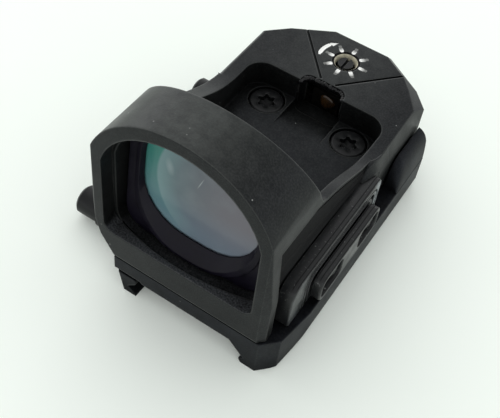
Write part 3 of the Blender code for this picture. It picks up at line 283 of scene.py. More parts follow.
def blasted_anodising(name, tones, worn, roughness, grit_mm, dust_and_light=0.0, ledge_grey=0.0):
    """Bead-blasted aluminium under a dyed black oxide skin: a soft even black, clouded by the blasting, that
    greys at a glancing look, with dusty specks and the skin rubbed thin along the edges. A dusty haze with
    painted light pales the hood on its lamp side, and painted shade darkens the hollows."""
    material, tree, place = begin(name)
    cloud = add(tree, "TexNoise", {"Vector": place, "Scale": 1 / 1.8, "Detail": 6.0, "Roughness": 0.6})
    shade = add(tree, "MapRange", {"Value": cloud, "From Min": 0.32, "From Max": 0.68})
    tones = [colour(code) for code in tones]
    tone = add(tree, "Mix", {"Factor": shade, "A": tones[0], "B": tones[1]}, data_type="RGBA")
    lint = add(tree, "TexVoronoi", {"Vector": place, "Scale": 1 / 2.4}).outputs["Distance"]
    speck = add(tree, "MapRange", {"Value": lint, "From Min": 0.05, "From Max": 0.03, "To Max": 0.55})
    tone = add(tree, "Mix", {"Factor": speck, "A": tone, "B": colour("#B9BBB7")}, data_type="RGBA")
    # A dusty haze on the hood, wiped thin at the left, with painted light in it: it is strongest on faces
    # turned up and to the left, where the lamp is, and fades out to the darker keypad side
    axes = add(tree, "SeparateXYZ", {"Vector": place}).outputs
    high = add(tree, "MapRange", {"Value": axes["Z"], "From Min": 7.0, "From Max": 14.0, "To Max": dust_and_light})
    haze_and_painted_light = add(tree, "MapRange", {"Value": axes["X"], "From Min": 13.0, "From Max": 1.0, "To Max": high})
    wiped = add(tree, "MapRange", {"Value": axes["X"], "From Min": -11.0, "From Max": -2.0, "To Min": 0.35})
    haze_and_painted_light = add(tree, "Math", {"Value": haze_and_painted_light, "Value_001": wiped}, operation="MULTIPLY")
    haze_and_painted_light = add(tree, "MapRange", {"Value": cloud, "From Min": -0.1, "From Max": 0.6, "To Max": haze_and_painted_light})
    face = add(tree, "NewGeometry").outputs["Normal"]
    towards = {"Vector": face, "Vector_001": (-0.5, 0.0, 0.87)}
    lamp_facing = add(tree, "VectorMath", towards, operation="DOT_PRODUCT")
    haze_and_painted_light = add(tree, "MapRange", {"Value": lamp_facing, "From Min": 0.05, "From Max": 0.85, "To Max": haze_and_painted_light})
    tone = add(tree, "Mix", {"Factor": haze_and_painted_light, "A": tone, "B": colour("#464845")}, data_type="RGBA")
    # The ledge before the lens seat is drawn paler and speckled on its upward faces
    low = {"From Min": 7.0, "From Max": 6.2, "To Max": ledge_grey}
    ledge = add(tree, "MapRange", {"Value": axes["Z"], **low})
    ledge = add(tree, "MapRange", {"Value": axes["Y"], "From Min": 8.0, "From Max": 7.0, "To Max": ledge})
    up = add(tree, "SeparateXYZ", {"Vector": face}).outputs["Z"]
    ledge = add(tree, "MapRange", {"Value": up, "From Min": 0.5, "From Max": 0.8, "To Max": ledge})
    grain = add(tree, "TexNoise", {"Vector": place, "Scale": 1 / 0.26, "Detail": 3.0})
    ledge = add(tree, "MapRange", {"Value": grain, "From Min": 0.25, "From Max": 0.7, "To Max": ledge})
    tone = add(tree, "Mix", {"Factor": ledge, "A": tone, "B": colour("#6E7074")}, data_type="RGBA")
    fleck = add(tree, "MapRange", {"Value": grain, "From Min": 0.42, "From Max": 0.75, "To Max": 0.09})
    tone = add(tree, "Mix", {"Factor": fleck, "A": tone, "B": colour(worn)}, data_type="RGBA")
    edge = rubbed_edges(tree, place, 0.4, 0.3)
    tone = add(tree, "Mix", {"Factor": edge, "A": tone, "B": colour(worn)}, data_type="RGBA")
    grease = add(tree, "TexNoise", {"Vector": place, "Scale": 1 / 5.0, "Detail": 4.0})
    spread = {"From Min": 0.3, "From Max": 0.7, "To Min": roughness - 0.06, "To Max": roughness + 0.06}
    gloss = add(tree, "MapRange", {"Value": grease, **spread})
    # Real blasting grit is near 0.08 mm and would vanish here, so it is drawn coarser
    grit = add(tree, "TexNoise", {"Vector": place, "Scale": 1 / grit_mm, "Detail": 3.0})
    soft = add(tree, "Bevel", {"Radius": 0.4 * MM}, samples=8)
    skin = add(tree, "Bump", {"Height": grit, "Distance": 0.03 * MM, "Strength": 0.5, "Normal": soft})
    # Painted shade: the more closed in a spot is, the darker its grey and the weaker its sheen
    painted_shade = add(tree, "AmbientOcclusion", {"Distance": 9 * MM}, samples=8).outputs["AO"]
    unshaded_share = add(tree, "MapRange", {"Value": painted_shade, "From Min": 0.3, "From Max": 0.8, "To Min": 0.3})
    tone = add(tree, "Mix", {"Factor": unshaded_share, "A": colour("#040404"), "B": tone}, data_type="RGBA")
    sheen = add(tree, "Math", {"Value": unshaded_share, "Value_001": 0.12}, operation="MULTIPLY")
    sockets = {"Base Color": tone, "Roughness": gloss, "Specular IOR Level": sheen, "Normal": skin}
    # Reflections are tinted a cool blue, the painted colour of the cool light reflected off the table
    sockets.update({"IOR": 1.5, "Specular Tint": colour("#DFE7F4")})
    add(tree, "OutputMaterial", {"Surface": add(tree, "BsdfPrincipled", sockets)})
    return material


def blackened_steel():
    """Turned alloy steel with a black oxide skin: smoother and darker than the anodising, with a fine
    tool grain and grey rubbed edges."""
    material, tree, place = begin("black oxide steel")
    cloud = add(tree, "TexNoise", {"Vector": place, "Scale": 1 / 1.2, "Detail": 4.0})
    tone = add(
        tree, "Mix", {"Factor": cloud, "A": colour("#090A0B"), "B": colour("#151617")}, data_type="RGBA"
    )
    edge = rubbed_edges(tree, place, 0.15, 0.5)
    tone = add(tree, "Mix", {"Factor": edge, "A": tone, "B": colour("#6E6F6D")}, data_type="RGBA")
    spread = {"From Min": 0.3, "From Max": 0.7, "To Min": 0.34, "To Max": 0.48}
    gloss = add(tree, "MapRange", {"Value": cloud, **spread})
    # Real tool marks are near 0.05 mm, so they are drawn coarser to show
    grain = add(tree, "TexNoise", {"Vector": place, "Scale": 1 / 0.18, "Detail": 2.0})
    soft = add(tree, "Bevel", {"Radius": 0.12 * MM}, samples=4)
    skin = add(tree, "Bump", {"Height": grain, "Distance": 0.012 * MM, "Strength": 0.5, "Normal": soft})
    sockets = {"Base Color": tone, "Roughness": gloss, "IOR": 1.5, "Specular IOR Level": 0.22, "Normal": skin}
    add(tree, "OutputMaterial", {"Surface": add(tree, "BsdfPrincipled", sockets)})
    return material


def keypad_rubber():
    """Compression-moulded silicone rubber: dark with a slightly greasy sheen that goes pale at a
    glancing look, and it holds lint and hand grime on its edges."""
    material, tree, place = begin("moulded silicone rubber")
    cloud = add(tree, "TexNoise", {"Vector": place, "Scale": 1 / 2.4, "Detail": 5.0})
    tone = add(
        tree, "Mix", {"Factor": cloud, "A": colour("#101112"), "B": colour("#1D1E1F")}, data_type="RGBA"
    )
    lint = add(tree, "TexNoise", {"Vector": place, "Scale": 1 / 0.4, "Detail": 3.0})
    grime = add(tree, "MapRange", {"Value": lint, "From Min": 0.64, "From Max": 0.76, "To Max": 0.4})
    tone = add(tree, "Mix", {"Factor": grime, "A": tone, "B": colour("#9EA09D")}, data_type="RGBA")
    edge = rubbed_edges(tree, place, 0.3, 0.5)
    tone = add(tree, "Mix", {"Factor": edge, "A": tone, "B": colour("#6A6C6B")}, data_type="RGBA")
    # Painted highlights: the outer face is drawn pale before and behind the bar, where its glossy ends catch
    # the light
    axes = add(tree, "SeparateXYZ", {"Vector": place}).outputs
    behind = {"From Min": BAR_REAR, "From Max": BAR_REAR + 1.4, "To Max": 0.8}
    before = {"From Min": BAR_FRONT - 0.6, "From Max": BAR_FRONT - 2.8, "To Max": 0.12}
    rear = add(tree, "MapRange", {"Value": axes["Y"], **behind})
    front = add(tree, "MapRange", {"Value": axes["Y"], **before})
    end_highlights = add(tree, "Math", {"Value": rear, "Value_001": front}, operation="ADD")
    outer = {"From Min": PAD_FACE - 0.25, "From Max": PAD_FACE - 0.05, "To Max": end_highlights}
    end_highlights = add(tree, "MapRange", {"Value": axes["X"], **outer})
    end_highlights = add(tree, "MapRange", {"Value": cloud, "From Min": 0.3, "From Max": 0.55, "To Max": end_highlights})
    tone = add(tree, "Mix", {"Factor": end_highlights, "A": tone, "B": colour("#868C8E")}, data_type="RGBA")
    # Fine moulded grooves along the top beside the bar are drawn only as dark lines of painted shade. The
    # wave repeats every pi / 10 of its scaled coordinate.
    bands = {"Vector": place, "Scale": math.pi / 10 / GROOVE_SPACING, "Distortion": 0.0}
    wave = add(tree, "TexWave", bands, bands_direction="X")
    groove_shade = add(tree, "MapRange", {"Value": wave, "From Min": 0.3, "From Max": 0.08, "To Max": 0.85})
    beside = {"From Min": PAD_FACE - 1.3, "From Max": PAD_FACE - 1.1, "To Max": groove_shade}
    groove_shade = add(tree, "MapRange", {"Value": axes["X"], **beside})
    face = add(tree, "NewGeometry").outputs["Normal"]
    up = add(tree, "SeparateXYZ", {"Vector": face}).outputs["Z"]
    groove_shade = add(tree, "MapRange", {"Value": up, "From Min": 0.5, "From Max": 0.8, "To Max": groove_shade})
    tone = add(tree, "Mix", {"Factor": groove_shade, "A": tone, "B": colour("#030304")}, data_type="RGBA")
    spread = {"From Min": 0.3, "From Max": 0.7, "To Min": 0.26, "To Max": 0.42}
    gloss = add(tree, "MapRange", {"Value": cloud, **spread})
    gloss = add(tree, "Math", {"Value": gloss, "Value_001": groove_shade}, operation="MAXIMUM")
    soft = add(tree, "Bevel", {"Radius": 0.12 * MM}, samples=4)
    skin = add(tree, "Bump", {"Height": lint, "Distance": 0.03 * MM, "Strength": 0.4, "Normal": soft})
    sockets = {"Base Color": tone, "Roughness": gloss, "IOR": 1.5, "Specular IOR Level": 0.32, "Normal": skin}
    add(tree, "OutputMaterial", {"Surface": add(tree, "BsdfPrincipled", sockets)})
    return material


def coated_glass():
    """Optical glass under a vacuum-deposited dichroic coat, with the coat's reflection painted into its
    colour: a milky mirror, mauve-grey in the middle and blue-grey below, with a teal crescent at one side
    where the ground edge shows through."""
    material, tree, place = begin("dichroic coated glass")
    axes = add(tree, "SeparateXYZ", {"Vector": place}).outputs
    drift = add(tree, "MapRange", {"Value": axes["X"], "From Min": -9.0, "From Max": 9.0})
    face = add(tree, "ValToRGB", {"Fac": drift})
    stops = face.color_ramp.elements
    stops[0].color = colour("#6C8E90")
    stops[1].color = colour("#77757B")
    for position, code in ((0.2, "#5F7277"), (0.45, "#646A70"), (0.7, "#6D6C72")):
        stops.new(position).color = colour(code)
    low = add(tree, "MapRange", {"Value": axes["Z"], "From Min": 15.0, "From Max": 8.0, "To Max": 0.6})
    face = add(tree, "Mix", {"Factor": low, "A": face, "B": colour("#738594")}, data_type="RGBA")
    smear = add(tree, "TexNoise", {"Vector": place, "Scale": 1 / 4.5, "Detail": 3.0})
    haze = add(tree, "MapRange", {"Value": smear, "From Min": 0.5, "From Max": 0.85, "To Max": 0.25})
    face = add(tree, "Mix", {"Factor": haze, "A": face, "B": colour("#88959A")}, data_type="RGBA")
    # The crescent is what lies outside a circle that stands off the window's left edge, and a painted
    # highlight brightens the glass just inside that circle
    from_centre = {"Vector": place, "Vector_001": (1, 0, 1), "Vector_002": -CRESCENT_CENTRE}
    flat = add(tree, "VectorMath", from_centre, operation="MULTIPLY_ADD")
    reach = add(tree, "VectorMath", {"Vector": flat}, operation="LENGTH")
    left = add(tree, "MapRange", {"Value": axes["X"], "From Min": 1.0, "From Max": -4.0})
    high = add(tree, "MapRange", {"Value": axes["Z"], "From Min": 6.0, "From Max": 10.0, "To Max": left})
    within = {"From Min": CRESCENT_RADIUS - 3.15, "From Max": CRESCENT_RADIUS + 0.05, "To Max": high}
    crescent_highlight = add(tree, "MapRange", {"Value": reach, **within})
    crescent_highlight = add(tree, "MapRange", {"Value": crescent_highlight, "To Max": 0.55})
    face = add(tree, "Mix", {"Factor": crescent_highlight, "A": face, "B": colour("#7C9C9D")}, data_type="RGBA")
    rise = add(tree, "MapRange", {"Value": axes["Z"], "From Min": 9.0, "From Max": 20.0})
    teal = add(
        tree, "Mix", {"Factor": rise, "A": colour("#64808A"), "B": colour("#3B7F75")}, data_type="RGBA"
    )
    beyond = {"From Min": CRESCENT_RADIUS, "From Max": CRESCENT_RADIUS + 0.35, "To Max": high}
    side = add(tree, "MapRange", {"Value": reach, **beyond})
    tone = add(tree, "Mix", {"Factor": side, "A": face, "B": teal}, data_type="RGBA")
    for (x, z), tilt, (wide, tall), strength in LENS_MARKS:
        sockets = {"Vector": place, "Location": (x, 0, z), "Rotation": (0, math.radians(tilt), 0)}
        sockets["Scale"] = (wide, MARK_REACH, tall)
        local = add(tree, "Mapping", sockets, vector_type="TEXTURE")
        near = add(tree, "VectorMath", {"Vector": local}, operation="LENGTH")
        mark = add(tree, "MapRange", {"Value": near, "From Min": 1.0, "From Max": 0.2, "To Max": strength})
        tone = add(tree, "Mix", {"Factor": mark, "A": tone, "B": colour("#C9D2D2")}, data_type="RGBA")
    sockets = {"Base Color": tone, "Roughness": 0.18, "IOR": 1.5, "Specular IOR Level": 0.12}
    sockets.update({"Transmission Weight": 0.15, "Coat Weight": 0.06, "Coat Roughness": 0.05})
    add(tree, "OutputMaterial", {"Surface": add(tree, "BsdfPrincipled", sockets)})
    return material


def bezel_paint():
    """Turned aluminium in a purple-black anti-glare paint: near black face on, plum where it is lit."""
    material, tree, place = begin("anti-glare painted aluminium")
    cloud = add(tree, "TexNoise", {"Vector": place, "Scale": 1 / 2.0, "Detail": 4.0})
    tone = add(
        tree, "Mix", {"Factor": cloud, "A": colour("#09070F"), "B": colour("#14111D")}, data_type="RGBA"
    )
    spread = {"From Min": 0.3, "From Max": 0.7, "To Min": 0.4, "To Max": 0.55}
    gloss = add(tree, "MapRange", {"Value": cloud, **spread})
    # The paint's own grain is near 0.05 mm, so it is drawn coarser to show
    grain = add(tree, "TexNoise", {"Vector": place, "Scale": 1 / 0.2, "Detail": 2.0})
    soft = add(tree, "Bevel", {"Radius": 0.2 * MM}, samples=4)
    skin = add(tree, "Bump", {"Height": grain, "Distance": 0.012 * MM, "Strength": 0.4, "Normal": soft})
    sockets = {"Base Color": tone, "Roughness": gloss, "IOR": 1.45, "Specular IOR Level": 0.2, "Normal": skin}
    add(tree, "OutputMaterial", {"Surface": add(tree, "BsdfPrincipled", sockets)})
    return material


def engraved_mark():
    """Bare aluminium left by a ball cutter, with a painted highlight at the inner end of each cut that fades
    to painted shade where it runs out.
    """
    material, tree, place = begin("engraved bare aluminium")
    from_dial = {"Vector": place, "Vector_001": (1, 1, 0), "Vector_002": (-DIAL.x, -DIAL.y, 0.0)}
    plan = add(tree, "VectorMath", from_dial, operation="MULTIPLY_ADD")
    reach = add(tree, "VectorMath", {"Vector": plan}, operation="LENGTH")
    along_tick = {"From Min": TICK_RADIUS + 0.4, "From Max": TICK_RADIUS + TICK_LENGTH + 0.05}
    highlight_to_shade = add(tree, "MapRange", {"Value": reach, **along_tick})
    inside_arrow = {"From Min": ARROW_RADIUS - 0.4, "From Max": ARROW_RADIUS - 0.6, "To Max": highlight_to_shade}
    highlight_to_shade = add(tree, "MapRange", {"Value": reach, **inside_arrow})
    tones = {"A": colour("#F6F6F2"), "B": colour("#5E5F5C")}
    tone = add(tree, "Mix", {"Factor": highlight_to_shade, **tones}, data_type="RGBA")
    grain = add(tree, "TexNoise", {"Vector": place, "Scale": 1 / 0.25, "Detail": 3.0})
    gloss = add(tree, "MapRange", {"Value": grain, "To Min": 0.3, "To Max": 0.6})
    skin = add(tree, "Bump", {"Height": grain, "Distance": 0.05 * MM, "Strength": 0.4})
    sockets = {"Base Color": tone, "Roughness": gloss, "Normal": skin}
    add(tree, "OutputMaterial", {"Surface": add(tree, "BsdfPrincipled", sockets)})
    return material


def small_part(name, tones, roughness, metallic=0.0, size_mm=1.0, depth_mm=0.01, specular=0.5):
    """Finish of a small piece: two close tones in soft blotches of a given size, over a fine grain."""
    material, tree, place = begin(name)
    blotch = add(tree, "TexNoise", {"Vector": place, "Scale": 1 / size_mm, "Detail": 4.0})
    shade = add(tree, "MapRange", {"Value": blotch, "From Min": 0.3, "From Max": 0.7})
    tones = [colour(code) for code in tones]
    tone = add(tree, "Mix", {"Factor": shade, "A": tones[0], "B": tones[1]}, data_type="RGBA")
    grain = add(tree, "TexNoise", {"Vector": place, "Scale": 4 / size_mm, "Detail": 2.0})
    spread = {"From Min": 0.3, "From Max": 0.7, "To Min": roughness - 0.06, "To Max": roughness + 0.06}
    gloss = add(tree, "MapRange", {"Value": grain, **spread})
    soft = add(tree, "Bevel", {"Radius": 0.08 * MM}, samples=4)
    skin = add(tree, "Bump", {"Height": grain, "Distance": depth_mm * MM, "Strength": 0.5, "Normal": soft})
    sockets = {"Base Color": tone, "Roughness": gloss, "Metallic": metallic, "Normal": skin}
    sockets["Specular IOR Level"] = specular
    add(tree, "OutputMaterial", {"Surface": add(tree, "BsdfPrincipled", sockets)})
    return material


MATERIALS = {
    "anodised_black": blasted_anodising(
        "black anodised aluminium", ("#0A0B0B", "#161717"), worn="#6A6C69", roughness=0.37, grit_mm=0.24,
        dust_and_light=0.75, ledge_grey=0.4,
    ),
    "mount_black": blasted_anodising(
        "satin anodised aluminium", ("#0A0B0D", "#14161A"), worn="#5C5E5D", roughness=0.5, grit_mm=0.2
    ),
    "blackened_steel": blackened_steel(),
    "lens_glass": coated_glass(),
    "bezel_black": bezel_paint(),
    "keypad_rubber": keypad_rubber(),
    # Pressed nitrile: dull black
    "nitrile_rubber": small_part("nitrile rubber", ("#070708", "#101011"), 0.8, specular=0.12),
    # Nickel over drawn steel: bright, faintly yellow
    "cell_steel": small_part("nickel-plated steel", ("#B4B4B0", "#C4C4C0"), 0.28, metallic=1.0),
    # Rolled phosphor bronze: warm and semi-bright
    "spring_bronze": small_part("phosphor bronze", ("#A57F48", "#BD9A63"), 0.32, metallic=1.0, size_mm=0.6),
    # Glass epoxy under a green solder mask: satin green
    "board_green": small_part("solder-masked glass epoxy", ("#173F23", "#21552F"), 0.45),
    # Cast amber epoxy: a dim brown glow with a wet look
    "emitter_amber": small_part("amber epoxy", ("#22150A", "#3C2811"), 0.3, size_mm=0.6, depth_mm=0.02),
    # Moulded silicone: pale straw, dull
    "seal_beige": small_part("silicone seal", ("#A9A48F", "#CFC8B0"), 0.5, size_mm=0.7),
    # Brass, drawn brown-black
    "brass": small_part("brown-black brass", ("#0A0908", "#15120D"), 0.6, size_mm=0.8, specular=0.2),
    "bare_mark": engraved_mark(),
    # Cured black epoxy: wet gloss over lumps
    "black_glue": small_part(
        "black epoxy glue", ("#050506", "#0B0B0C"), 0.28, size_mm=0.7, depth_mm=0.03, specular=0.3
    ),
}


def dress_frame():
    """Gives each CAD node the finish of its record slot."""
    for name, slot in SLOTS.items():
        materials = NODES[name].data.materials
        materials.clear()
        materials.append(MATERIALS[slot])


def ease_housing(bm):
    """Moves the rear block's corners to their hand-finished places and rounds off the lower front corner."""
    for vert in bm.verts:
        spot = in_sight(vert.co)
        for cut, finished in BLOCK_EASE:
            if (spot - Vector(cut)).length < CORNER_REACH:
                vert.co = metres(finished)
    for points in CORNER_CUTS:
        first, second, third = (metres(point) for point in points)
        inward = (second - first).cross(third - first)
        geom = bm.verts[:] + bm.edges[:] + bm.faces[:]
        cut = bmesh.ops.bisect_plane(bm, geom=geom, plane_co=first, plane_no=inward, clear_inner=True)
        rim = [part for part in cut["geom_cut"] if isinstance(part, bmesh.types.BMEdge)]
        bmesh.ops.holes_fill(bm, edges=rim, sides=0)
        bmesh.ops.recalc_face_normals(bm, faces=bm.faces)


def eased(name):
    """A copy of a CAD node whose curved faces are shaded round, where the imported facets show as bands."""
    node = NODES[name]
    bm = bmesh.new()
    bm.from_mesh(node.data)
    bmesh.ops.remove_doubles(bm, verts=bm.verts, dist=WELD * MM)
    if name == "housing":
        ease_housing(bm)
    bm.normal_update()
    for face in bm.faces:
        face.smooth = True
    for edge in bm.edges:
        edge.smooth = edge.calc_face_angle(0.0) < SMOOTH_ANGLE
    mesh = bpy.data.meshes.new(name + "_eased")
    bm.to_mesh(mesh)
    bm.free()
    obj = bpy.data.objects.new(name + "_eased", mesh)
    bpy.context.scene.collection.objects.link(obj)
    mesh.materials.append(node.data.materials[0])
    flats = obj.modifiers.new("flat faces first", "WEIGHTED_NORMAL")
    flats.keep_sharp = True
    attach(obj, body_of(node)[0])
    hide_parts(name)


def piece(name, bm, finish, body):
    """Turns a bmesh in sight-frame millimetres into a piece that rides on a CAD body."""
    bmesh.ops.recalc_face_normals(bm, faces=bm.faces)
    for vert in bm.verts:
        vert.co = metres(vert.co)
    mesh = bpy.data.meshes.new(name)
    bm.to_mesh(mesh)
    bm.free()
    mesh.shade_smooth()
    mesh.set_sharp_from_angle(angle=PIECE_SHARP_ANGLE)
    obj = bpy.data.objects.new(name, mesh)
    bpy.context.scene.collection.objects.link(obj)
    mesh.materials.append(MATERIALS[finish])
    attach(obj, body)
    return obj


def loft(bm, rings, closed=False):
    """Joins rings of as many points with faces, and the last to the first if closed. Gives their vertices."""
    made = [[bm.verts.new(point) for point in ring] for ring in rings]
    pairs = list(zip(made, made[1:]))
    if closed:
        pairs.append((made[-1], made[0]))
    for low, high in pairs:
        for i in range(len(low)):
            bm.faces.new((low[i - 1], low[i], high[i], high[i - 1]))
    return made


def capped_loft(rings):
    """A new bmesh of rings joined into a solid with a face on either end."""
    bm = bmesh.new()
    made = loft(bm, rings)
    bm.faces.new(made[0])
    bm.faces.new(made[-1])
    return bm


def side_outline(x, front, rear, bottom, top, radii, steps=6):
    """A rounded rectangle on the keypad side, with its radii from the rear top corner round by the front."""
    ring = []
    spots = ((rear, top, -1, -1), (front, top, 1, -1), (front, bottom, 1, 1), (rear, bottom, -1, 1))
    for quarter, (y, z, along, up) in enumerate(spots):
        radius = max(radii[quarter], 0.02)
        centre = Vector((x, y + along * radius, z + up * radius))
        for i in range(steps + 1):
            angle = math.pi / 2 * (quarter + i / steps)
            ring.append(centre + radius * Vector((0, math.cos(angle), math.sin(angle))))
    return ring


def keypad_pad():
    """The bonded rubber pad: rounded rim, a moulded gutter round the bar and an opening under it."""
    square = (SQUARE_CORNER,) * 2
    rings = []
    # Each row: inset from the pad's edge, depth below its face
    rim = ((0, PAD_FACE - PAD_BACK), (0, 0.4), (0.04, 0.2), (0.14, 0.06), (0.3, 0))
    for inset, sink in rim:
        radii = tuple(corner - inset for corner in PAD_CORNERS) + square
        edges = (PAD_FRONT + inset, PAD_REAR - inset, PAD_BOTTOM, PAD_TOP - inset)
        rings.append(side_outline(PAD_FACE - sink, *edges, radii))
    # Each row: reach out from the bar's edge, depth below the pad's face
    gutter = ((2.0, 0), (1.95, 0.25), (1.7, 0.25), (1.65, 0), (1.15, 0))
    gutter += ((1.1, 0.08), (1.05, 0.4), (0.55, 0.4), (0.5, 0.08), (0.45, 0))
    for reach, sink in gutter:
        radii = (BAR_CORNER + 0.6 * reach,) * 2 + square
        edges = (BAR_FRONT - reach, BAR_REAR + reach, PAD_BOTTOM + 0.1, BAR_TOP + reach)
        rings.append(side_outline(PAD_FACE - sink, *edges, radii))
    opening = (BAR_FRONT + 0.9, BAR_REAR - 0.9, BAR_BOTTOM + 0.5, BAR_TOP - 0.6)
    for x in (PAD_FACE, PAD_BACK):
        rings.append(side_outline(x, *opening, (0.8,) * 4))
    bm = bmesh.new()
    loft(bm, rings, closed=True)
    pad = piece("keypad_pad", bm, "keypad_rubber", "base")
    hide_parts("keypad_frame")


def keypad_cover():
    """The raised rubber bar with two windows, all its outer edges rounded over."""
    bm = bmesh.new()
    thick = BAR_FACE - BAR_BACK
    outer = []
    # Each row: inset from the bar's edge, depth below its face
    for inset, sink in ((0, thick), (0, 0.3), (0.05, 0.13), (0.15, 0.03), (0.28, 0)):
        radii = (BAR_CORNER - inset,) * 4
        edges = (BAR_FRONT + inset, BAR_REAR - inset, BAR_BOTTOM + inset, BAR_TOP - inset)
        outer.append(side_outline(BAR_FACE - sink, *edges, radii))
    made = [loft(bm, outer)]
    for y in BUTTON_PLACES:
        window = []
        # Each row: reach out from the window's edge, depth below the face
        for reach, sink in ((0, thick), (0, 0.25), (0.04, 0.1), (0.12, 0.03), (0.22, 0)):
            across, up = (half + reach for half in WINDOW_HALF)
            edges = (y - across, y + across, WINDOW_HEIGHT - up, WINDOW_HEIGHT + up)
            window.append(side_outline(BAR_FACE - sink, *edges, (WINDOW_CORNER + reach,) * 4))
        made.append(loft(bm, window))
    for level in (0, -1):
        edges = []
        for rings in made:
            loop = rings[level]
            edges += [bm.edges.get((loop[i - 1], loop[i])) for i in range(len(loop))]
        bmesh.ops.triangle_fill(bm, use_beauty=True, edges=edges)
    cover = piece("keypad_cover", bm, "keypad_rubber", "base")
    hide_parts("keypad_bar")


def deck_screws():
    """Two flat-headed screws with a wide six-lobed socket, as they sit in the deck's bays."""
    turn = [2 * math.pi * i / SCREW_SIDES for i in range(SCREW_SIDES)]
    for node in ("deck_screw_left", "deck_screw_right"):
        low, high = (in_sight(corner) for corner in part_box(node))
        middle = (low + high) / 2
        wide = (high.x - low.x) / 2
        lobe = 0.09 * wide
        # Each row: radius, height of the lobes, z, from the shank's foot up and over into the socket
        profile = (
            (SHANK_RADIUS, 0.0, low.z),
            (SHANK_RADIUS, 0.0, high.z - 1.3),
            (wide, 0.0, high.z - 1.0),
            (wide, 0.0, high.z - 0.2),
            (wide - 0.25, 0.0, high.z),
            (0.66 * wide, 0.02, high.z),
            (0.47 * wide, lobe, high.z - 0.12),
            (0.44 * wide, lobe, high.z - 1.0),
            (0.1, 0.0, high.z - 1.15),
        )
        rings = []
        for radius, rise, z in profile:
            ring = []
            for angle in turn:
                reach = radius + rise * math.cos(LOBES * angle)
                ring.append((middle.x + reach * math.cos(angle), middle.y + reach * math.sin(angle), z))
            rings.append(ring)
        screw = piece(node + "_socket", capped_loft(rings), SLOTS[node], "base")
        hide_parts(node)


def pocket_shoulder():
    """The sloped shoulder behind the keypad, where the pocket's wall runs out into the block's flank."""
    foot = PAD_TOP + 0.03
    # Each row: y, inner x, top, crest x, outer x, outer height, foot
    sections = (
        (27.6, 13.85, 8.97, 14.2, 14.6, 8.9, foot),
        (28.8, 13.85, 10.3, 14.3, 15.0, 9.0, foot),
        (29.9, 13.85, 10.74, 14.5, 15.35, 9.0, foot),
        (31.0, 13.85, 10.6, 14.62, 15.42, 9.0, foot),
        (32.0, 14.3, 10.47, 14.7, 15.5, 8.4, 8.0),
        (33.5, 14.5, 10.27, 14.72, 15.42, 8.0, 7.4),
        (35.5, 14.5, 10.17, 14.63, 15.33, 7.6, 7.0),
    )
    rings = []
    for y, inner, top, crest, outer, edge, low in sections:
        ridge = [(inner, y, top), (crest, y, top - 0.03), (outer, y, edge)]
        rings.append([(inner, y, low), *ridge, (outer - 0.15, y, low)])
    piece("pocket_shoulder", capped_loft(rings), "anodised_black", "base")


def pocket_shade_sheet():
    """A dull black sheet on the pocket's wall above the pad, put there as painted shade under the hood's
    overhang, with two moulded ribs along it.
    """
    # Height of the sheet's upper edge along the wall, as y and z
    roof = ((2.7, 18.9), (9.0, 18.7), (14.0, 16.6), (18.0, 15.3), (21.0, 14.2), (25.3, 12.1), (29.4, 10.4))
    # Share of the height, and how far the sheet stands out there
    ribs = ((0.0, 0.0), (0.12, 0.0), (0.2, 0.35), (0.28, 0.0))
    ribs += ((0.5, 0.0), (0.6, 0.35), (0.7, 0.0), (1.0, 0.0))
    foot = PAD_TOP + 0.05
    rings = []
    for y, top in roof:
        ring = [(SHADE_SHEET_FACE + lift, y, foot + share * (top - foot)) for share, lift in ribs]
        rings.append(ring + [(SHADE_SHEET_BACK, y, top), (SHADE_SHEET_BACK, y, foot)])
    piece("pocket_shade_sheet", capped_loft(rings), "nitrile_rubber", "base")


def turned_ring(profile, sides=48):
    """A new bmesh of a closed ring about the dial's axis, from a profile of radius and height."""
    turn = [2 * math.pi * i / sides for i in range(sides)]
    rings = []
    for radius, z in profile:
        rings.append([(DIAL.x + radius * math.cos(a), DIAL.y + radius * math.sin(a), z) for a in turn])
    bm = bmesh.new()
    loft(bm, rings, closed=True)
    return bm


def dial_rings():
    """The straw-coloured seal whose inner wall shows round the screw, and the black lip that holds it."""
    top = BLOCK_TOP - 0.03
    seal = ((1.7, 9.0), (1.74, 9.45), (1.98, top - 0.12), (2.04, top - 0.12), (2.04, 9.0))
    ring = piece("dial_seal", turned_ring(seal), "seal_beige", "base")
    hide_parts("elevation_seal")
    inner = 2.06
    outer = DIAL_SEAT - 0.03
    lip = ((inner, 9.2), (inner, top - 0.06), (2.12, top))
    lip += ((outer - 0.05, top), (outer, top - 0.05), (outer, 9.2))
    piece("dial_lip", turned_ring(lip), "nitrile_rubber", "base")


def trough(bm, path, width, top=BLOCK_TOP - 0.02, depth=0.8 * MARK_DEPTH):
    """A shallow rounded trough along a path on the block's top, or a flat smear where the depth is none."""
    across = 7
    last = len(path) - 1
    rows = []
    for i, point in enumerate(path):
        along = (path[min(i + 1, last)] - path[max(i - 1, 0)]).normalized()
        side = Vector((-along.y, along.x))
        share = i / last
        # The cutter plunges in and lifts out, so the ends are narrower and shallower
        taper = min(1.0, 0.45 + 3.4 * min(share, 1 - share))
        made = []
        for k in range(across):
            t = 2 * k / (across - 1) - 1
            spot = point + side * t * width / 2 * taper
            made.append(bm.verts.new((spot.x, spot.y, top - depth * (1 - t * t) * taper)))
        rows.append(made)
    for low, high in zip(rows, rows[1:]):
        for k in range(across - 1):
            bm.faces.new((low[k], low[k + 1], high[k + 1], high[k]))


def round_dial(radius, degrees):
    """A point about the dial in plan."""
    angle = math.radians(degrees)
    return DIAL + Vector((math.cos(angle), math.sin(angle))) * radius


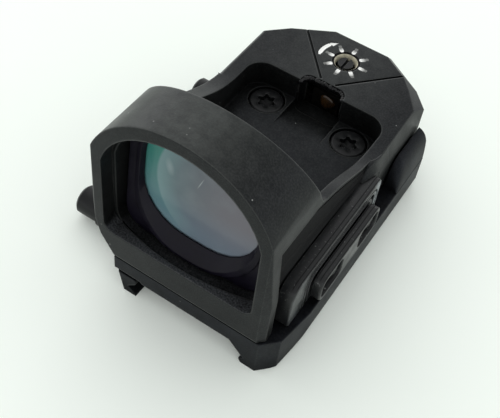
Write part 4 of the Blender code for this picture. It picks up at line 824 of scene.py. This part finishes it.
def dial_marks():
    """Bright bare metal in the milled ticks and in the curved arrow beside the dial."""
    bm = bmesh.new()
    width = TICK_WIDTH - 2 * MARK_INSET
    start = TICK_RADIUS + MARK_INSET
    length = TICK_LENGTH - 2 * MARK_INSET
    end = TICK_RADIUS + TICK_LENGTH - RUN_OUT_LAP
    shares = [k / MARK_STEPS for k in range(MARK_STEPS + 1)]
    for i in range(TICK_COUNT):
        degrees = 360 * i / TICK_COUNT
        trough(bm, [round_dial(start + length * share, degrees) for share in shares], width)
        # The cutter runs out past each milled pocket and bares a little more metal
        smear = [round_dial(end + (TICK_RUN_OUT + RUN_OUT_LAP) * share, degrees) for share in shares]
        trough(bm, smear, RUN_OUT_WIDTH * width, BLOCK_TOP + RUN_OUT_LIFT, 0.0)
    sweep = [ARROW_START + (ARROW_END - ARROW_START) * k / ARROW_STEPS for k in range(ARROW_STEPS + 1)]
    trough(bm, [round_dial(ARROW_RADIUS, degrees) for degrees in sweep], width)
    spread = ARROW_HEAD / 2 - 2 * MARK_INSET
    tip = ARROW_END - math.degrees(ARROW_HEAD * 1.2 / ARROW_RADIUS)
    corners = ((-spread, ARROW_END + 1), (0, tip), (spread, ARROW_END + 1))
    head = [round_dial(ARROW_RADIUS + reach, degrees) for reach, degrees in corners]
    bm.faces.new([bm.verts.new((spot.x, spot.y, BLOCK_TOP - MARK_DEPTH + 0.05)) for spot in head])
    piece("dial_marks", bm, "bare_mark", "base")


def notch_path(inset, height, steps=10):
    """The notch's rim in plan from its left end round the back to its right end, drawn in by an inset."""
    half = NOTCH_HALF - inset
    back = NOTCH_BACK - inset
    path = [Vector((-half, RECESS_END + 0.1, height))]
    for side, start in ((-1, 180), (1, 90)):
        centre = Vector((side * (half - NOTCH_CORNER), back - NOTCH_CORNER, height))
        for k in range(steps + 1):
            angle = math.radians(start - 90 * k / steps)
            path.append(centre + NOTCH_CORNER * Vector((math.cos(angle), math.sin(angle), 0)))
    return path + [Vector((half, RECESS_END + 0.1, height))]


def emitter_glue():
    """Black epoxy dabbed by hand round the notch's rim, in lumps that have run together."""
    bm = bmesh.new()
    path = notch_path(GLUE_INSET, GLUE_HEIGHT)
    spots = []
    for start, end in zip(path, path[1:]):
        count = max(1, round((end - start).length / GLUE_SPACING))
        spots += [start.lerp(end, k / count) for k in range(count)]
    kept = [spots[0]]
    for spot in spots:
        if (spot - kept[-1]).length > 0.8 * GLUE_SPACING:
            kept.append(spot)
    # Noise gives each dab its own size and lumps
    for spot in kept:
        size = GLUE_SIZE + GLUE_LUMP * noise.noise(spot * 1.3)
        for vert in bmesh.ops.create_icosphere(bm, subdivisions=3, radius=1.0)["verts"]:
            lump = 1 + GLUE_LUMP * noise.noise(vert.co * 1.1 + spot * 3.1)
            vert.co = spot + Vector((vert.co.x, vert.co.y, vert.co.z * 1.2)) * size * lump
    piece("emitter_glue", bm, "black_glue", "base")


def emitter_drop():
    """A drop of amber epoxy over the emitter chip."""
    low, high = (in_sight(corner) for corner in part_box("emitter_led"))
    middle = (low + high) / 2
    sides = 28
    rings = []
    for share in (0.15, 0.45, 0.75, 0.92, 1.0):
        y = DROP_FACE - DROP_HEIGHT * math.sqrt(1 - share * share)
        ring = []
        for k in range(sides):
            angle = 2 * math.pi * k / sides
            reach = DROP_RADIUS * share * (1 + 0.1 * math.sin(3 * angle + 1))
            ring.append((middle.x + reach * math.cos(angle), y, middle.z + reach * math.sin(angle)))
        rings.append(ring)
    piece("emitter_drop", capped_loft(rings), "emitter_amber", "emitter")


def floor():
    """A sheet of white paper under the jaws."""
    bm = bmesh.new()
    bmesh.ops.create_grid(bm, x_segments=1, y_segments=1, size=FLOOR_HALF)
    mesh = bpy.data.meshes.new("floor")
    bm.to_mesh(mesh)
    bm.free()
    obj = bpy.data.objects.new("floor", mesh)
    bpy.context.scene.collection.objects.link(obj)
    obj.location.z = metres((0, 0, JAW_FLOOR - FLOOR_GAP)).z
    material, tree, place = begin("white paper")
    fibre = add(tree, "TexNoise", {"Vector": place, "Scale": 1 / 40.0, "Detail": 2.0})
    tone = add(
        tree, "Mix", {"Factor": fibre, "A": colour("#F5FBF3"), "B": colour("#F9FEF7")}, data_type="RGBA"
    )
    paper = add(tree, "BsdfPrincipled", {"Base Color": tone, "Roughness": 0.9, "Specular IOR Level": 0.1})
    # A small share of the white is the sheet's own, for the eye and for reflections
    rays = add(tree, "LightPath").outputs
    direct = {"Value": rays["Is Camera Ray"], "Value_001": rays["Is Glossy Ray"]}
    seen = add(tree, "Math", direct, operation="MAXIMUM")
    seen = add(tree, "Math", {"Value": seen, "Value_001": rays["Is Transmission Ray"]}, operation="MAXIMUM")
    share = add(tree, "MapRange", {"Value": seen, "To Max": FLOOR_OWN_WHITE})
    white = add(tree, "Emission", {"Color": colour("#FBFFF9"), "Strength": 1.0})
    sheet = add(tree, "MixShader", {"Fac": share, "Shader": paper, "Shader_001": white})
    add(tree, "OutputMaterial", {"Surface": sheet})
    mesh.materials.append(material)


def lights():
    """A pale surround, brighter near the table, and one broad soft lamp from the left rear."""
    world = bpy.data.worlds.new("white surround")
    bpy.context.scene.world = world
    world.use_nodes = True
    tree = world.node_tree
    tree.nodes.clear()
    height = add(tree, "SeparateXYZ", {"Vector": add(tree, "TexCoord").outputs["Generated"]}).outputs["Z"]
    fall = {"From Max": SKY_TURN, "To Min": SKY_LOW, "To Max": SKY_HIGH}
    level = add(tree, "MapRange", {"Value": height, **fall})
    sky = add(tree, "Background", {"Color": colour("#F5F7F8"), "Strength": level})
    add(tree, "OutputWorld", {"Surface": sky})
    lamp = bpy.data.lights.new("broad lamp", "AREA")
    lamp.shape = "DISK"
    lamp.size = LAMP_SIZE
    lamp.energy = LAMP_POWER
    obj = bpy.data.objects.new("broad lamp", lamp)
    bpy.context.scene.collection.objects.link(obj)
    obj.location = LAMP_PLACE
    obj.rotation_euler = (LAMP_AIM - LAMP_PLACE).to_track_quat("-Z", "Y").to_euler()


def camera():
    """The photograph's own view, with its small roll."""
    azimuth, elevation, roll = (math.radians(v) for v in (CAMERA_AZIMUTH, CAMERA_ELEVATION, CAMERA_ROLL))
    level = math.cos(elevation)
    away = Vector((math.sin(azimuth) * level, -math.cos(azimuth) * level, math.sin(elevation)))
    right = Vector((math.cos(azimuth), math.sin(azimuth), 0))
    up = right.cross(-away)
    turned_right = math.cos(roll) * right + math.sin(roll) * up
    turned_up = -math.sin(roll) * right + math.cos(roll) * up
    data = bpy.data.cameras.new("camera")
    data.sensor_width = SENSOR_WIDTH
    data.lens = FOCAL_PIXELS * SENSOR_WIDTH / IMAGE_WIDTH
    data.shift_x = CAMERA_SHIFT[0] / IMAGE_WIDTH
    data.shift_y = CAMERA_SHIFT[1] / IMAGE_WIDTH
    data.clip_start = CAMERA_NEAR * MM
    obj = bpy.data.objects.new("camera", data)
    bpy.context.scene.collection.objects.link(obj)
    turn = Matrix((turned_right, turned_up, away)).transposed().to_4x4()
    obj.matrix_world = Matrix.Translation(metres(CAMERA_TARGET + away * CAMERA_DISTANCE)) @ turn
    bpy.context.scene.camera = obj


dress_frame()
for name in ROUND_NODES:
    eased(name)
keypad_pad()
keypad_cover()
deck_screws()
pocket_shoulder()
pocket_shade_sheet()
dial_rings()
dial_marks()
emitter_glue()
emitter_drop()
floor()
lights()
camera()
bpy.context.scene.view_settings.view_transform = "Standard"
